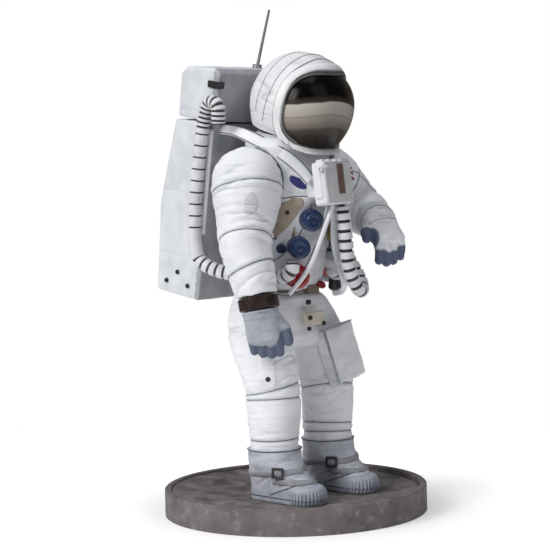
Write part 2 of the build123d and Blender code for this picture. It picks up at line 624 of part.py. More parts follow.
PIN_LENGTH = 17.0
for name, side in SIDES.items():
    arm = ARMS[name]
    shoulder = spine_point(side * SHOULDER[0], SHOULDER[1], SHOULDER[2])
    elbow = arm["elbow"]
    wrist = arm["wrist"]
    upper = (elbow - shoulder).normalized()
    lower = (wrist - elbow).normalized()
    hinge = arm["hinge"] if arm["hinge"] else upper.cross(lower)
    hinge = (hinge - lower * hinge.dot(lower)).normalized()
    inward = Vector(-side, 0, 0)

    with BuildPart() as hub:
        add(ball(shoulder, HUB_RADIUS))
        add(rod(shoulder, inward, HUB_PEG, SHOULDER[0] - 5.0))
        add(cross_pin(shoulder, SPINE.y_dir, PIN_RADIUS + FIT, 3 * HUB_RADIUS), mode=Mode.SUBTRACT)
    keep(hub, f"shoulder_hub_{name}")

    with BuildPart() as shoulder_pin:
        add(cross_pin(shoulder, SPINE.y_dir, PIN_RADIUS, PIN_LENGTH))
    keep(shoulder_pin, f"shoulder_pin_{name}")

    elbow_gap = ELBOW_RADIUS + BREAK
    with BuildPart() as upper_arm:
        add(round_loft(shoulder, elbow, UPPER_SLEEVE))
        with Locations((side * (SLEEVE_FLAT - 20), 0, 110)):
            Box(40, 80, 80, mode=Mode.SUBTRACT)
        add(ball(shoulder, CAP_RADIUS))
        add(ball(shoulder, HUB_RADIUS + FIT), mode=Mode.SUBTRACT)
        for angle in range(0, RAISE_MAX + 1, 10):
            slot = inward * cos(radians(angle)) + SPINE.z_dir * sin(radians(angle))
            add(rod(shoulder, slot, HUB_PEG + 0.4, 20), mode=Mode.SUBTRACT)
        add(cross_pin(shoulder, SPINE.y_dir, PIN_RADIUS, PIN_LENGTH), mode=Mode.SUBTRACT)
        add(ball(elbow, elbow_gap), mode=Mode.SUBTRACT)
        low, high = arm["bend"]
        for angle in range(low, high + 1, 15):
            turned = lower.rotate(Axis((0, 0, 0), tuple(hinge)), angle)
            add(rod(elbow, turned, elbow_gap, 24), mode=Mode.SUBTRACT)
        turned = lower.rotate(Axis((0, 0, 0), tuple(hinge)), high)
        add(rod(elbow, turned, elbow_gap, 24), mode=Mode.SUBTRACT)
        add(rod(elbow - upper * 2.0, upper, 20, 20), mode=Mode.SUBTRACT)
        neck = (upper - hinge * hinge.dot(upper)).normalized()
        tongue = Plane(origin=elbow, x_dir=hinge, z_dir=neck)
        add(cross_pin(elbow, hinge, 5.8, TONGUE))
        add(Solid.make_box(TONGUE, 6.4, 12.5, Plane(origin=elbow - hinge * (TONGUE / 2) - tongue.y_dir * 3.2
                                                    - neck * 12.5, x_dir=hinge, z_dir=neck)))
        add(cross_pin(elbow, hinge, PIN_RADIUS + FIT, 30), mode=Mode.SUBTRACT)
    keep(upper_arm, f"upper_arm_{name}")

    sleeve_end = wrist - lower * RING_HEIGHT
    with BuildPart() as forearm:
        add(round_loft(elbow, sleeve_end, LOWER_SLEEVE))
        add(ball(elbow, ELBOW_RADIUS))
        add(rod(sleeve_end - lower, lower, STUB_RADIUS, RING_HEIGHT + 1))
        fork = Plane(origin=elbow, x_dir=hinge, z_dir=lower)
        gap = TONGUE + 0.4
        add(Solid.make_box(gap, 40, 26.4, Plane(origin=elbow - hinge * (gap / 2) - fork.y_dir * 20
                                                - lower * 20, x_dir=hinge, z_dir=lower)), mode=Mode.SUBTRACT)
        add(cross_pin(elbow, hinge, PIN_RADIUS, PIN_LENGTH), mode=Mode.SUBTRACT)
        add(rod(wrist, -lower, WRIST_PEG + FIT, 8), mode=Mode.SUBTRACT)
    keep(forearm, f"forearm_{name}")

    with BuildPart() as elbow_pin:
        add(cross_pin(elbow, hinge, PIN_RADIUS, PIN_LENGTH))
    keep(elbow_pin, f"elbow_pin_{name}")

    with BuildPart() as ring:
        add(rod(sleeve_end, lower, RING_RADIUS, RING_HEIGHT))
        add(rod(sleeve_end - lower, lower, STUB_RADIUS, RING_HEIGHT + 2), mode=Mode.SUBTRACT)
        chamfer(ring.edges().filter_by(GeomType.CIRCLE).group_by(SortBy.LENGTH)[-1], 0.3)
    keep(ring, f"wrist_ring_{name}")

    hand = GLOVES[name]
    palm = hand["palm"].normalized()
    fingers = hand["fingers"].normalized()
    across = hand["side"].normalized()
    root = wrist + lower * BREAK
    knuckles = wrist + palm * arm["palm"]
    tips = knuckles + fingers * arm["fingers"]
    wires = []
    for centre, normal, width, depth, corner in [
            (root, lower, 12.4, 12.4, 6.1), (wrist + (palm + lower) * 2.2, palm + lower, 12.6, 10.4, 5.0),
            (knuckles, palm + fingers, 12.8, 8.4, 4.0), (tips, fingers, 11.4, 5.6, 2.6)]:
        square = across - normal.normalized() * across.dot(normal.normalized())
        with BuildSketch(Plane(origin=centre, x_dir=square, z_dir=normal)) as section:
            RectangleRounded(width, depth, corner)
        wires.append(section.sketch.face().outer_wire())
    thumb = [wrist + across * out + palm * along for out, along in hand["thumb"]]
    with BuildPart() as glove:
        add(Solid.make_loft(wires))
        add(rod(thumb[0], thumb[1] - thumb[0], 2.1, (thumb[1] - thumb[0]).length))
        add(ball(thumb[0], 2.1))
        add(ball(thumb[1], 2.1))
        add(rod(root, -lower, 30, 30), mode=Mode.SUBTRACT)
        add(rod(root + lower, -lower, WRIST_PEG, 8))
    keep(glove, f"glove_{name}")
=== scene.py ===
"""Looks of the space-suit figure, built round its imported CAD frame.

Shapes are worked out in millimetres in the frame's axes (+Z up, the figure faces -Y, its right side
is -X) and are scaled to metres when a piece is placed.
"""
import json
from math import cos, pi, radians, sin

import bpy
import numpy as np
from mathutils import Matrix, Vector, noise
from mathutils.bvhtree import BVHTree


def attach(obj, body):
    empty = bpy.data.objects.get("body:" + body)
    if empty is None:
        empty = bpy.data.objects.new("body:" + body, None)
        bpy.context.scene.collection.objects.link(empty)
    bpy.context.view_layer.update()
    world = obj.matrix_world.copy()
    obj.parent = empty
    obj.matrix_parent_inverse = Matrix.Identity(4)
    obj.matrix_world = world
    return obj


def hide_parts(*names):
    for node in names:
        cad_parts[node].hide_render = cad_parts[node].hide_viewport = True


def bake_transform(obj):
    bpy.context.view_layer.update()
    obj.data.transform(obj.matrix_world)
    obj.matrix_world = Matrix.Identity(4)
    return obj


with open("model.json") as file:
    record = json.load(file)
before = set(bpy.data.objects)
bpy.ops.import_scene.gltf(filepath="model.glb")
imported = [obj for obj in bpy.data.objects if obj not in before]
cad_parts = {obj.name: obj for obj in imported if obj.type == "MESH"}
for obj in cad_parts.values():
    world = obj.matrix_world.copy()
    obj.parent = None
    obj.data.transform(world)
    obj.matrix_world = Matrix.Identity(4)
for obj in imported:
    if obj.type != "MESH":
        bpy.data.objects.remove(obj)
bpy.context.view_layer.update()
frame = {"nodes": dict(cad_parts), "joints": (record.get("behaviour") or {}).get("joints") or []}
MM = 0.001
SIDES = {"right": -1, "left": 1}


# ---- the frame's main places
JOINTS = {joint["name"]: np.array(joint["pos_m"]) / MM for joint in frame["joints"]}
SHOULDER, ELBOW, WRIST = ({side: JOINTS[f"{joint}_{side}"] for side in SIDES}
                          for joint in ("shoulder_raise", "elbow", "wrist"))
WAIST = JOINTS["waist_turn"]
LEAN = radians(9.2)                       # the upper body leans forward at the waist
SPINE_AXES = np.array([(1, 0, 0), (0, cos(LEAN), sin(LEAN)), (0, -sin(LEAN), cos(LEAN))])
ACROSS, TO_BACK, SPINE_UP = SPINE_AXES
LEG_X = 14.2
ANKLE_Y = -3.4
GROUND_TOP = 6.4
HEAD_Y = -1.5                             # head axis in the spine frame


def from_spine(points):
    """From the leaning frame, whose origin is the waist joint, to the stand's frame."""
    return np.asarray(points, float) @ SPINE_AXES + WAIST


def to_spine(points):
    return (points - WAIST) @ SPINE_AXES.T


def spine(x, y, z):
    return from_spine((x, y, z))


def spine_vector(x, y, z):
    return np.array([x, y, z], float) @ SPINE_AXES


# ---- lines and directions
def unit(vector):
    return np.asarray(vector, float) / np.linalg.norm(vector)


def unit_rows(rows):
    return rows / np.linalg.norm(rows, axis=1)[:, None]


def circle(count):
    """Angles of points evenly spaced round a circle."""
    return np.linspace(0, 2 * pi, count, endpoint=False)


def distances(line):
    """Distance along a line of each of its points."""
    return np.r_[0, np.cumsum(np.linalg.norm(np.diff(line, axis=0), axis=1))]


# ---- closed shapes: (vertices, faces)
def loft(rings):
    """Closed solid through rings of equal counts, capped at both ends."""
    rings = np.asarray(rings, float)
    count, around = rings.shape[:2]
    faces = [(i * around + j, i * around + (j + 1) % around, (i + 1) * around + (j + 1) % around,
              (i + 1) * around + j) for i in range(count - 1) for j in range(around)]
    faces.append(tuple(range(around))[::-1])
    faces.append(tuple((count - 1) * around + j for j in range(around)))
    return rings.reshape(-1, 3), faces


def frame_of(axis, side=(0, 0, 1)):
    """Two unit vectors square to the axis, the first one nearest to side."""
    axis = unit(axis)
    first = np.asarray(side, float) - axis * np.dot(side, axis)
    if np.linalg.norm(first) < 1e-3:
        first = np.array([1.0, 0, 0]) - axis * axis[0]
    first = unit(first)
    return first, np.cross(axis, first)


def turned(profile, centre, axis, around=48):
    """Solid of revolution: profile holds (radius, height along the axis)."""
    first, second = frame_of(axis)
    angles = circle(around)
    ring = np.cos(angles)[:, None] * first + np.sin(angles)[:, None] * second
    centre, axis = np.asarray(centre), unit(axis)
    return loft([centre + axis * height + ring * max(radius, 1e-3) for radius, height in profile])


def stud(spot, out, radius, rim, top_radius, top, root=0.6, around=20):
    """Snap or screw head that stands out to its rim and top, with its root sunk."""
    return turned([(radius, -root), (radius, rim), (top_radius, top), (0.01, top)], spot, out, around)


def ball(centre, radius):
    angles = np.linspace(-pi / 2, pi / 2, 21)
    return turned([(radius * cos(a), radius * sin(a)) for a in angles], centre, (0, 0, 1), 32)


def capsule(start, end, start_radius, end_radius):
    length = np.linalg.norm(end - start)
    profile = [(start_radius * cos(a), start_radius * sin(a)) for a in np.linspace(-pi / 2, 0, 8)]
    profile += [(end_radius * cos(a), length + end_radius * sin(a)) for a in np.linspace(0, pi / 2, 8)]
    return turned(profile, start, end - start, 28)


def oval(half_width, half_depth, power, count=96):
    """Rounded outline about the origin: power 2 is an ellipse, more is squarer."""
    c, s = np.cos(circle(count)), np.sin(circle(count))
    scale = (np.abs(c) ** power + np.abs(s) ** power) ** (-1 / power)
    return np.stack([half_width * c * scale, half_depth * s * scale, np.zeros(count)], 1)


def even(points, count, closed=True):
    """The same line with evenly spaced points."""
    points = np.asarray(points, float)
    if closed:
        points = np.vstack([points, points[:1]])
    along = distances(points)
    wanted = np.linspace(0, along[-1], count, endpoint=not closed)
    return np.stack([np.interp(wanted, along, points[:, k]) for k in range(3)], 1)


def smooth_line(points, count, rounds=3, closed=False):
    """A line with its corners cut smooth."""
    points = np.asarray(points, float)
    for _ in range(rounds):
        following = np.roll(points, -1, 0) if closed else points[1:]
        leading = points if closed else points[:-1]
        quarter = (following - leading) / 4
        cut = np.stack([leading + quarter, following - quarter], 1).reshape(-1, 3)
        points = cut if closed else np.vstack([points[:1], cut, points[-1:]])
    return even(points, count, closed)


def tube(points, radii, around=10, closed=False, flat=1.0, up=None):
    """Tube along a line. Flat squeezes it towards the up direction given for each point."""
    points = np.asarray(points, float)
    count = len(points)
    radii = np.broadcast_to(np.asarray(radii, float), count)
    if closed:
        tangents = unit_rows(np.roll(points, -1, 0) - np.roll(points, 1, 0))
    else:
        tangents = unit_rows(np.gradient(points, axis=0))
    c, s = np.cos(circle(around))[:, None], np.sin(circle(around))[:, None]
    side = frame_of(tangents[0], (0.3, 0.2, 0.9))[0]
    rings = []
    for k in range(count):
        side, other = frame_of(tangents[k], side if up is None else up[k])
        rings.append(points[k] + radii[k] * (c * side * flat + s * other))
    vertices, faces = loft(rings)
    if closed:
        last = (count - 1) * around
        faces = faces[:-2] + [(last + j, last + (j + 1) % around, (j + 1) % around, j) for j in range(around)]
    return vertices, faces


def slab(size, matrix, bevel):
    """Box of the given size, with chamfered edges, placed by a 4x4 matrix."""
    x, y, z = np.asarray(size, float) / 2
    b = min(bevel, min(x, y, z) * 0.95)
    outline = np.array([(x, y - b), (x - b, y), (b - x, y), (-x, y - b),
                        (-x, b - y), (b - x, -y), (x - b, -y), (x, b - y)])
    inner = outline * (1 - b / np.array([x, y]))
    levels = [(-z, inner), (b - z, outline), (z - b, outline), (z, inner)]
    vertices, faces = loft([np.c_[ring, np.full(8, height)] for height, ring in levels])
    return vertices @ matrix[:3, :3].T + matrix[:3, 3], faces


def at(origin, x_axis, y_axis):
    """4x4 matrix with its origin and the directions of its first two axes."""
    x_axis = unit(x_axis)
    z_axis = unit(np.cross(x_axis, y_axis))
    matrix = np.eye(4)
    matrix[:3, :3] = np.stack([x_axis, np.cross(z_axis, x_axis), z_axis], 1)
    matrix[:3, 3] = origin
    return matrix


# ---- Blender pieces
def piece(name, parts, finish, smooth=True):
    """One object, still in millimetres, from closed shapes; parts may be ((vertices, faces), slot index)."""
    vertices, faces, slots = [], [], []
    offset = 0
    for part in parts:
        (points, polygons), slot = part if isinstance(part[1], int) else (part, 0)
        vertices.append(points)
        faces += [tuple(v + offset for v in polygon) for polygon in polygons]
        slots += [slot] * len(polygons)
        offset += len(points)
    mesh = bpy.data.meshes.new(name)
    mesh.from_pydata(np.vstack(vertices).tolist(), [], faces)
    for material in finish if isinstance(finish, list) else [finish]:
        mesh.materials.append(material)
    mesh.polygons.foreach_set("material_index", slots)
    mesh.polygons.foreach_set("use_smooth", [smooth] * len(faces))
    mesh.update()
    made = bpy.data.objects.new(name, mesh)
    bpy.context.scene.collection.objects.link(made)
    return made


def modified(made, kind, **settings):
    """Adds a modifier and applies it."""
    modifier = made.modifiers.new(kind.lower(), kind)
    for key, value in settings.items():
        setattr(modifier, key, value)
    graph = bpy.context.evaluated_depsgraph_get()
    mesh = bpy.data.meshes.new_from_object(made.evaluated_get(graph))
    made.modifiers.clear()
    made.data = mesh
    return made


def fused(name, parts, finish, voxel, relax):
    """One closed skin round all the parts, smoothed relax times."""
    made = piece(name, parts, finish)
    modified(made, "REMESH", mode="VOXEL", voxel_size=voxel, use_smooth_shade=True)
    return modified(made, "SMOOTH", factor=0.5, iterations=relax)


def read_rows(items, name):
    values = np.zeros(len(items) * 3)
    items.foreach_get(name, values)
    return values.reshape(-1, 3)


def points_of(made):
    return read_rows(made.data.vertices, "co")


def normals_of(made):
    return read_rows(made.data.vertex_normals, "vector")


def set_points(made, points):
    made.data.vertices.foreach_set("co", np.asarray(points, float).ravel())
    made.data.update()


def paint(made, name, values):
    """A number at each vertex, which the material reads."""
    layer = made.data.attributes.get(name) or made.data.attributes.new(name, "FLOAT", "POINT")
    layer.data.foreach_set("value", np.asarray(values, np.float32))


def place(made, body, slot, *nodes):
    """Scales a finished piece to metres and puts it on its CAD body; given a tuple of bodies, it only fixes
    its transform and goes on no body.
    """
    made.data.transform(Matrix.Scale(MM, 4))
    if nodes:
        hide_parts(*nodes)
    if isinstance(body, tuple):
        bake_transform(made)
    else:
        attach(made, body)
    return made


def add(name, parts, finish, body, slot, *nodes):
    """Makes a smooth piece and places it."""
    return place(piece(name, parts, finish), body, slot, *nodes)


def add_hard(name, parts, finish, body, slot, *nodes, width=0.15, segments=2, smooth=False):
    """Makes a piece with small roundings on its edges and places it."""
    made = modified(piece(name, parts, finish, smooth), "BEVEL", width=width, segments=segments)
    return place(made, body, slot, *nodes)


def noise_at(points, size, seed=0.0):
    """Smooth noise of about -1 to 1, at points in millimetres."""
    scaled = np.asarray(points) / np.asarray(size)
    return np.array([noise.noise((x + seed, y - seed, z + 2 * seed)) for x, y, z in scaled]) * 1.6


class Axis:
    """A limb's centre line, which gives each surface point its distance along it and its angle."""


    def __init__(self, points, front, count=90):
        self.points = smooth_line(points, count)
        self.tangents = unit_rows(np.gradient(self.points, axis=0))
        frames = [frame_of(tangent, front) for tangent in self.tangents]
        self.first, self.second = (np.array(part) for part in zip(*frames))
        self.along = distances(self.points)

    def coordinates(self, points):
        """(distance along, angle, distance out) of each point."""
        nearest = np.concatenate([np.argmin(np.linalg.norm(chunk[:, None] - self.points[None], axis=2), 1)
                                  for chunk in np.array_split(points, max(1, len(points) // 4000))])
        offset = points - self.points[nearest]
        along = self.along[nearest] + np.einsum("ij,ij->i", offset, self.tangents[nearest])
        x = np.einsum("ij,ij->i", offset, self.first[nearest])
        y = np.einsum("ij,ij->i", offset, self.second[nearest])
        return along, np.arctan2(y, x), np.hypot(x, y)

    def ray(self, along, angle):
        spot = np.array([np.interp(along, self.along, self.points[:, k]) for k in range(3)])
        index = int(np.clip(np.searchsorted(self.along, along), 0, len(self.along) - 1))
        return spot, self.first[index] * cos(angle) + self.second[index] * sin(angle)


def creased(made, axis, pitch, height, seed, seams=(), calm=None):
    """Presses cloth folds into a skin: round pillows with sharp creases that run round the limb.

    Seams are (distance along, tilt, tilt angle) of stitched lines. Calm, if given, is a function of the
    points that scales the folds. The creases' depth is left in the "shade" layer.
    """
    points, normals = points_of(made), normals_of(made)
    along, angle, out = axis.coordinates(points)
    c, d = np.cos(angle), np.sin(angle)

    def folds(round_scale, along_at, shift):
        return noise_at(np.stack([round_scale * c, round_scale * d, along_at], 1), 1.0, seed + shift)

    wander = folds(0.8, along / 14, 0)
    present = np.clip(0.62 + 0.9 * folds(0.9, along / 10, 5.5), 0.12, 1)
    large = folds(0.5, along / pitch + 0.45 * wander, 3.1)
    small = folds(1.1, 2.1 * along / pitch + 0.8 * wander, 9.7)
    amount = present * (1 if calm is None else calm(points))
    pillows = 1.1 * np.minimum(np.abs(large), 0.5) + 0.5 * np.minimum(np.abs(small), 0.5)
    push = height * amount * (pillows - 0.4)
    # painted shade: darker along the creases and, below, along the seam grooves
    shade = np.clip(0.42 * np.exp(-(large / 0.09) ** 2) + 0.12 * np.exp(-(small / 0.12) ** 2), 0, 1) * amount
    for start, tilt, turn in seams:
        gap = along - (start + tilt * np.cos(angle - turn))
        push -= 0.32 * np.exp(-(gap / 0.55) ** 2)
        push += 0.12 * np.exp(-((np.abs(gap) - 1.3) / 0.6) ** 2)
        shade = np.maximum(shade, 0.6 * np.exp(-(gap / 0.55) ** 2))
    set_points(made, points + normals * push[:, None])
    paint(made, "shade", shade)
    return made


def surface(made):
    points = points_of(made)
    polygons = [tuple(polygon.vertices) for polygon in made.data.polygons]
    return BVHTree.FromPolygons([Vector(p) for p in points], polygons)


def stitched(name, tree, axis, lines, finish, radius=0.15):
    """Dark piping where tilted rings round the axis meet a surface; lines are (along, tilt, tilt angle)."""
    parts, count = [], 120
    for start, tilt, turn in lines:
        found = []
        for angle in circle(count):
            origin, direction = axis.ray(start + tilt * cos(angle - turn), angle)
            hit = tree.ray_cast(Vector(origin), Vector(direction), 60)[0]
            if hit is not None:
                found.append(np.array(hit))
        parts.append(tube(found, radius, 8, len(found) == count))
    return piece(name, parts, finish)


def projected(tree, points, direction, lift=0.0):
    """Drops a line onto a surface along a direction."""
    direction = Vector(direction).normalized()
    found = []
    for point in np.asarray(points, float):
        hit, normal = tree.ray_cast(Vector(point) - direction * 60, direction, 120)[:2]
        if hit is None:
            hit, normal = tree.find_nearest(Vector(point) + direction * 14)[:2]
        found.append((np.array(hit) + np.array(normal) * lift, np.array(normal)))
    return np.array([f[0] for f in found]), np.array([f[1] for f in found])


def patch(name, tree, outline, direction, thickness, finish, rings=14):
    """A cloth or moulded patch that lies on a surface: its outline is dropped along a direction."""
    count = max(len(outline), 64)
    outline = even(outline, count)
    centre = outline.mean(0)
    shares = np.linspace(1, 0.04, rings)
    grid = [centre + (outline - centre) * share for share in shares]
    base, normals = projected(tree, np.vstack(grid), direction, 0)
    base, normals = base.reshape(rings, count, 3), normals.reshape(rings, count, 3)
    edge = np.clip((1 - shares) / 0.12, 0, 1) ** 0.5
    top = base + normals * (0.02 + thickness * edge)[:, None, None]
    skirt = base[:1] - normals[:1] * 0.3
    vertices, faces = loft(np.vstack([skirt, top]))
    return piece(name, [(vertices, [face[::-1] for face in faces])], finish)


# ---- materials
def fill(node, inputs):
    """Sets a node's inputs, or links those that are given as sockets."""
    for key, value in inputs.items():
        socket = node.inputs[key]
        if isinstance(value, bpy.types.NodeSocket):
            node.id_data.links.new(value, socket)
        elif socket.type == "RGBA":
            socket.default_value = (*value, 1)
        else:
            socket.default_value = value


def add_node(tree, kind, inputs=None, **settings):
    node = tree.nodes.new(f"ShaderNode{kind}")
    for key, value in settings.items():
        setattr(node, key, value)
    fill(node, inputs or {})
    return node


def new_material(name):
    """A material with its node tree, its shader and the object coordinates."""
    material = bpy.data.materials.new(name)
    material.use_nodes = True
    tree = material.node_tree
    return material, tree, tree.nodes["Principled BSDF"], add_node(tree, "TexCoord").outputs["Object"]


def finish(name, colour, other, roughness=0.6, size=6.0, grain=0.35, relief=0.03, weave=0.0, shade=None,
           metallic=0.0, coat=0.0, sheen=0.0, tip=None, speckle=None):
    """Procedural material. Its colour drifts between two tones over size mm, grain and relief (mm) are its
    surface, weave (mm) its threads, shade the colour in creases, tip and speckle further tones."""
    material, tree, shader, where = new_material(name)

    def clouds(scale_mm, detail=3.0):
        inputs = {"Scale": 1 / (scale_mm * MM), "Detail": detail, "Vector": where}
        return add_node(tree, "TexNoise", inputs).outputs["Fac"]

    def ramped(value, low, high):
        node = add_node(tree, "MapRange", {"From Min": low, "From Max": high, "Value": value})
        return node.outputs["Result"]

    def mixed(factor, first, second):
        return add_node(tree, "Mix", {"Factor": factor, 6: first, 7: second}, data_type="RGBA").outputs[2]

    tone = mixed(ramped(clouds(size, 4.0), 0.35, 0.68), colour, other)
    if speckle:
        tone = mixed(ramped(clouds(size * 0.45), 0.55, 0.85), tone, speckle)
    for layer, layer_tone in (("shade", shade), ("tip", tip)):
        if layer_tone:
            read = add_node(tree, "Attribute", attribute_name=layer)
            tone = mixed(read.outputs["Fac"], tone, layer_tone)
    rough = add_node(tree, "MapRange", {"Value": clouds(size * 0.4), "To Min": max(0.02, roughness - 0.1),
                                        "To Max": min(1.0, roughness + 0.1)})
    height = clouds(grain)
    for direction in ("Z", "DIAGONAL") if weave else ():
        threads = add_node(tree, "TexWave", {"Scale": 0.314 / (weave * MM), "Distortion": 0.6,
                                             "Vector": where}, bands_direction=direction)
        height = add_node(tree, "Math", {0: height, 1: threads.outputs["Fac"]}).outputs[0]
    bump = add_node(tree, "Bump", {"Strength": 0.8, "Distance": relief * MM, "Height": height})
    fill(shader, {"Base Color": tone, "Roughness": rough.outputs["Result"], "Normal": bump.outputs["Normal"],
                  "Metallic": metallic, "Coat Weight": coat, "Coat Roughness": 0.15, "Sheen Weight": sheen})
    return material


# painted shade: the colour that the cloth's creases and seam grooves are darkened to
CREASE_SHADE = (0.36, 0.38, 0.44)
SUIT = finish("suit_cloth", (0.84, 0.85, 0.88), (0.75, 0.765, 0.80), 0.66, 9.0, 0.3, 0.02, 0.45, CREASE_SHADE,
              sheen=0.15)
# grey cloth for grey parts such as the neck ring; on the left wrist ring it is painted shade, as that ring
# lies in shade
SUIT_GREY_AND_SHADE = finish("suit_cloth_grey_and_shade", (0.60, 0.61, 0.64), (0.50, 0.51, 0.54), 0.7, 6.0, 0.3, 0.02, 0.45,
                   CREASE_SHADE)
HOOD = finish("hood_cloth", (0.80, 0.80, 0.82), (0.70, 0.71, 0.74), 0.55, 8.0, 0.3, 0.015, 0.4,
              (0.30, 0.31, 0.34))
SUIT_PALE = finish("patch_cloth", (0.66, 0.67, 0.70), (0.58, 0.59, 0.63), 0.6, 5.0, 0.3, 0.015, 0.3)
RIM_BAND = finish("hood_rim_cloth", (0.86, 0.86, 0.87), (0.76, 0.77, 0.79), 0.5, 5.0, 0.3, 0.015, 0.0, CREASE_SHADE)
SEAM = finish("seam_thread", (0.075, 0.075, 0.085), (0.13, 0.13, 0.15), 0.7, 2.0, 0.2, 0.03)
SEAM_SOFT = finish("seam_grey", (0.30, 0.31, 0.34), (0.42, 0.43, 0.46), 0.7, 2.0, 0.2, 0.03)
BOOT = finish("boot_cloth", (0.60, 0.62, 0.69), (0.47, 0.48, 0.54), 0.7, 5.0, 0.3, 0.03, 0.5,
              (0.16, 0.17, 0.20))
RUBBER = finish("boot_rubber", (0.33, 0.36, 0.43), (0.43, 0.46, 0.52), 0.55, 3.0, 0.25, 0.03, 0.0,
                (0.06, 0.07, 0.09))
STRAP = finish("strap_web", (0.34, 0.345, 0.37), (0.26, 0.265, 0.29), 0.75, 4.0, 0.2, 0.04, 0.35)
GLOVE = finish("glove_cloth", (0.84, 0.85, 0.89), (0.72, 0.73, 0.78), 0.7, 4.0, 0.25, 0.03, 0.4,
               (0.20, 0.21, 0.25), tip=(0.085, 0.11, 0.18))
# a darker copy of the glove cloth for the right hand, which lies in shade: painted shade
GLOVE_SHADED = finish("glove_cloth_shaded", (0.42, 0.43, 0.49), (0.33, 0.34, 0.40), 0.7, 4.0, 0.25, 0.03, 0.4,
                    (0.17, 0.18, 0.22), tip=(0.10, 0.125, 0.19))
TAN = finish("tan_web", (0.48, 0.40, 0.31), (0.38, 0.31, 0.24), 0.75, 4.0, 0.2, 0.03, 0.35)
HIP_TAN = finish("hip_web", (0.62, 0.57, 0.48), (0.54, 0.49, 0.40), 0.75, 4.0, 0.2, 0.03, 0.35)
BELT = finish("belt_web", (0.17, 0.125, 0.10), (0.11, 0.085, 0.07), 0.6, 4.0, 0.2, 0.03, 0.35)
PACK = finish("pack_cover", (0.72, 0.74, 0.775), (0.65, 0.67, 0.71), 0.5, 9.0, 0.4, 0.02, 0.0,
              (0.44, 0.46, 0.50))
# a darker copy of the pack cover for its front faces, which lie in shade: painted shade
PACK_FRONT_SHADED = finish("pack_front_shaded_cover", (0.42, 0.43, 0.46), (0.33, 0.34, 0.37), 0.55, 7.0, 0.4, 0.02, 0.0,
                    (0.22, 0.225, 0.24))
BLUE = finish("connector_blue", (0.006, 0.022, 0.085), (0.012, 0.04, 0.13), 0.32, 3.0, 0.3, 0.01, coat=0.3)
RED = finish("connector_red", (0.36, 0.010, 0.012), (0.25, 0.008, 0.010), 0.35, 3.0, 0.3, 0.01, coat=0.3)
HARD = finish("hard_white", (0.80, 0.81, 0.84), (0.72, 0.73, 0.77), 0.38, 6.0, 0.4, 0.01, coat=0.1)
HARD_GREY = finish("hard_grey", (0.60, 0.61, 0.62), (0.54, 0.55, 0.56), 0.42, 5.0, 0.4, 0.01)
LABEL = finish("label_brown", (0.20, 0.115, 0.10), (0.14, 0.08, 0.07), 0.5, 1.4, 0.2, 0.01)
BLACK = finish("black_satin", (0.012, 0.012, 0.014), (0.022, 0.022, 0.025), 0.45, 3.0, 0.3, 0.02)
HOSE = finish("hose_white", (0.74, 0.74, 0.76), (0.64, 0.64, 0.67), 0.45, 4.0, 0.3, 0.02,
              shade=(0.03, 0.03, 0.035))
METAL = finish("steel", (0.42, 0.42, 0.43), (0.37, 0.37, 0.38), 0.34, 4.0, 0.6, 0.003, metallic=0.9)
BRONZE = finish("ring_bronze", (0.035, 0.022, 0.02), (0.07, 0.045, 0.04), 0.28, 3.0, 0.2, 0.01, metallic=0.6)
FRAME = finish("visor_frame_grey", (0.16, 0.165, 0.17), (0.11, 0.11, 0.115), 0.4, 3.0, 0.3, 0.02)
NAVY = finish("patch_blue", (0.035, 0.035, 0.17), (0.05, 0.05, 0.22), 0.6, 2.0, 0.2, 0.03, 0.3)
PATCH_RED = finish("patch_red", (0.30, 0.03, 0.035), (0.24, 0.03, 0.03), 0.6, 2.0, 0.2, 0.03, 0.3)
BRASS = finish("brass_fitting", (0.20, 0.15, 0.045), (0.13, 0.09, 0.03), 0.4, 2.0, 0.2, 0.01)
ROCK = finish("moon_rock", (0.165, 0.142, 0.147), (0.105, 0.09, 0.094), 0.85, 7.0, 0.9, 0.12, 0.0,
              (0.07, 0.062, 0.063), speckle=(0.27, 0.245, 0.245))
DUST = finish("moon_dust", (0.23, 0.205, 0.20), (0.15, 0.134, 0.13), 0.9, 8.0, 0.8, 0.15, 0.0,
              (0.09, 0.08, 0.077), speckle=(0.31, 0.285, 0.275))
COVER = finish("under_cover", (0.03, 0.03, 0.032), (0.045, 0.045, 0.047), 0.6, 5.0, 0.4, 0.03)


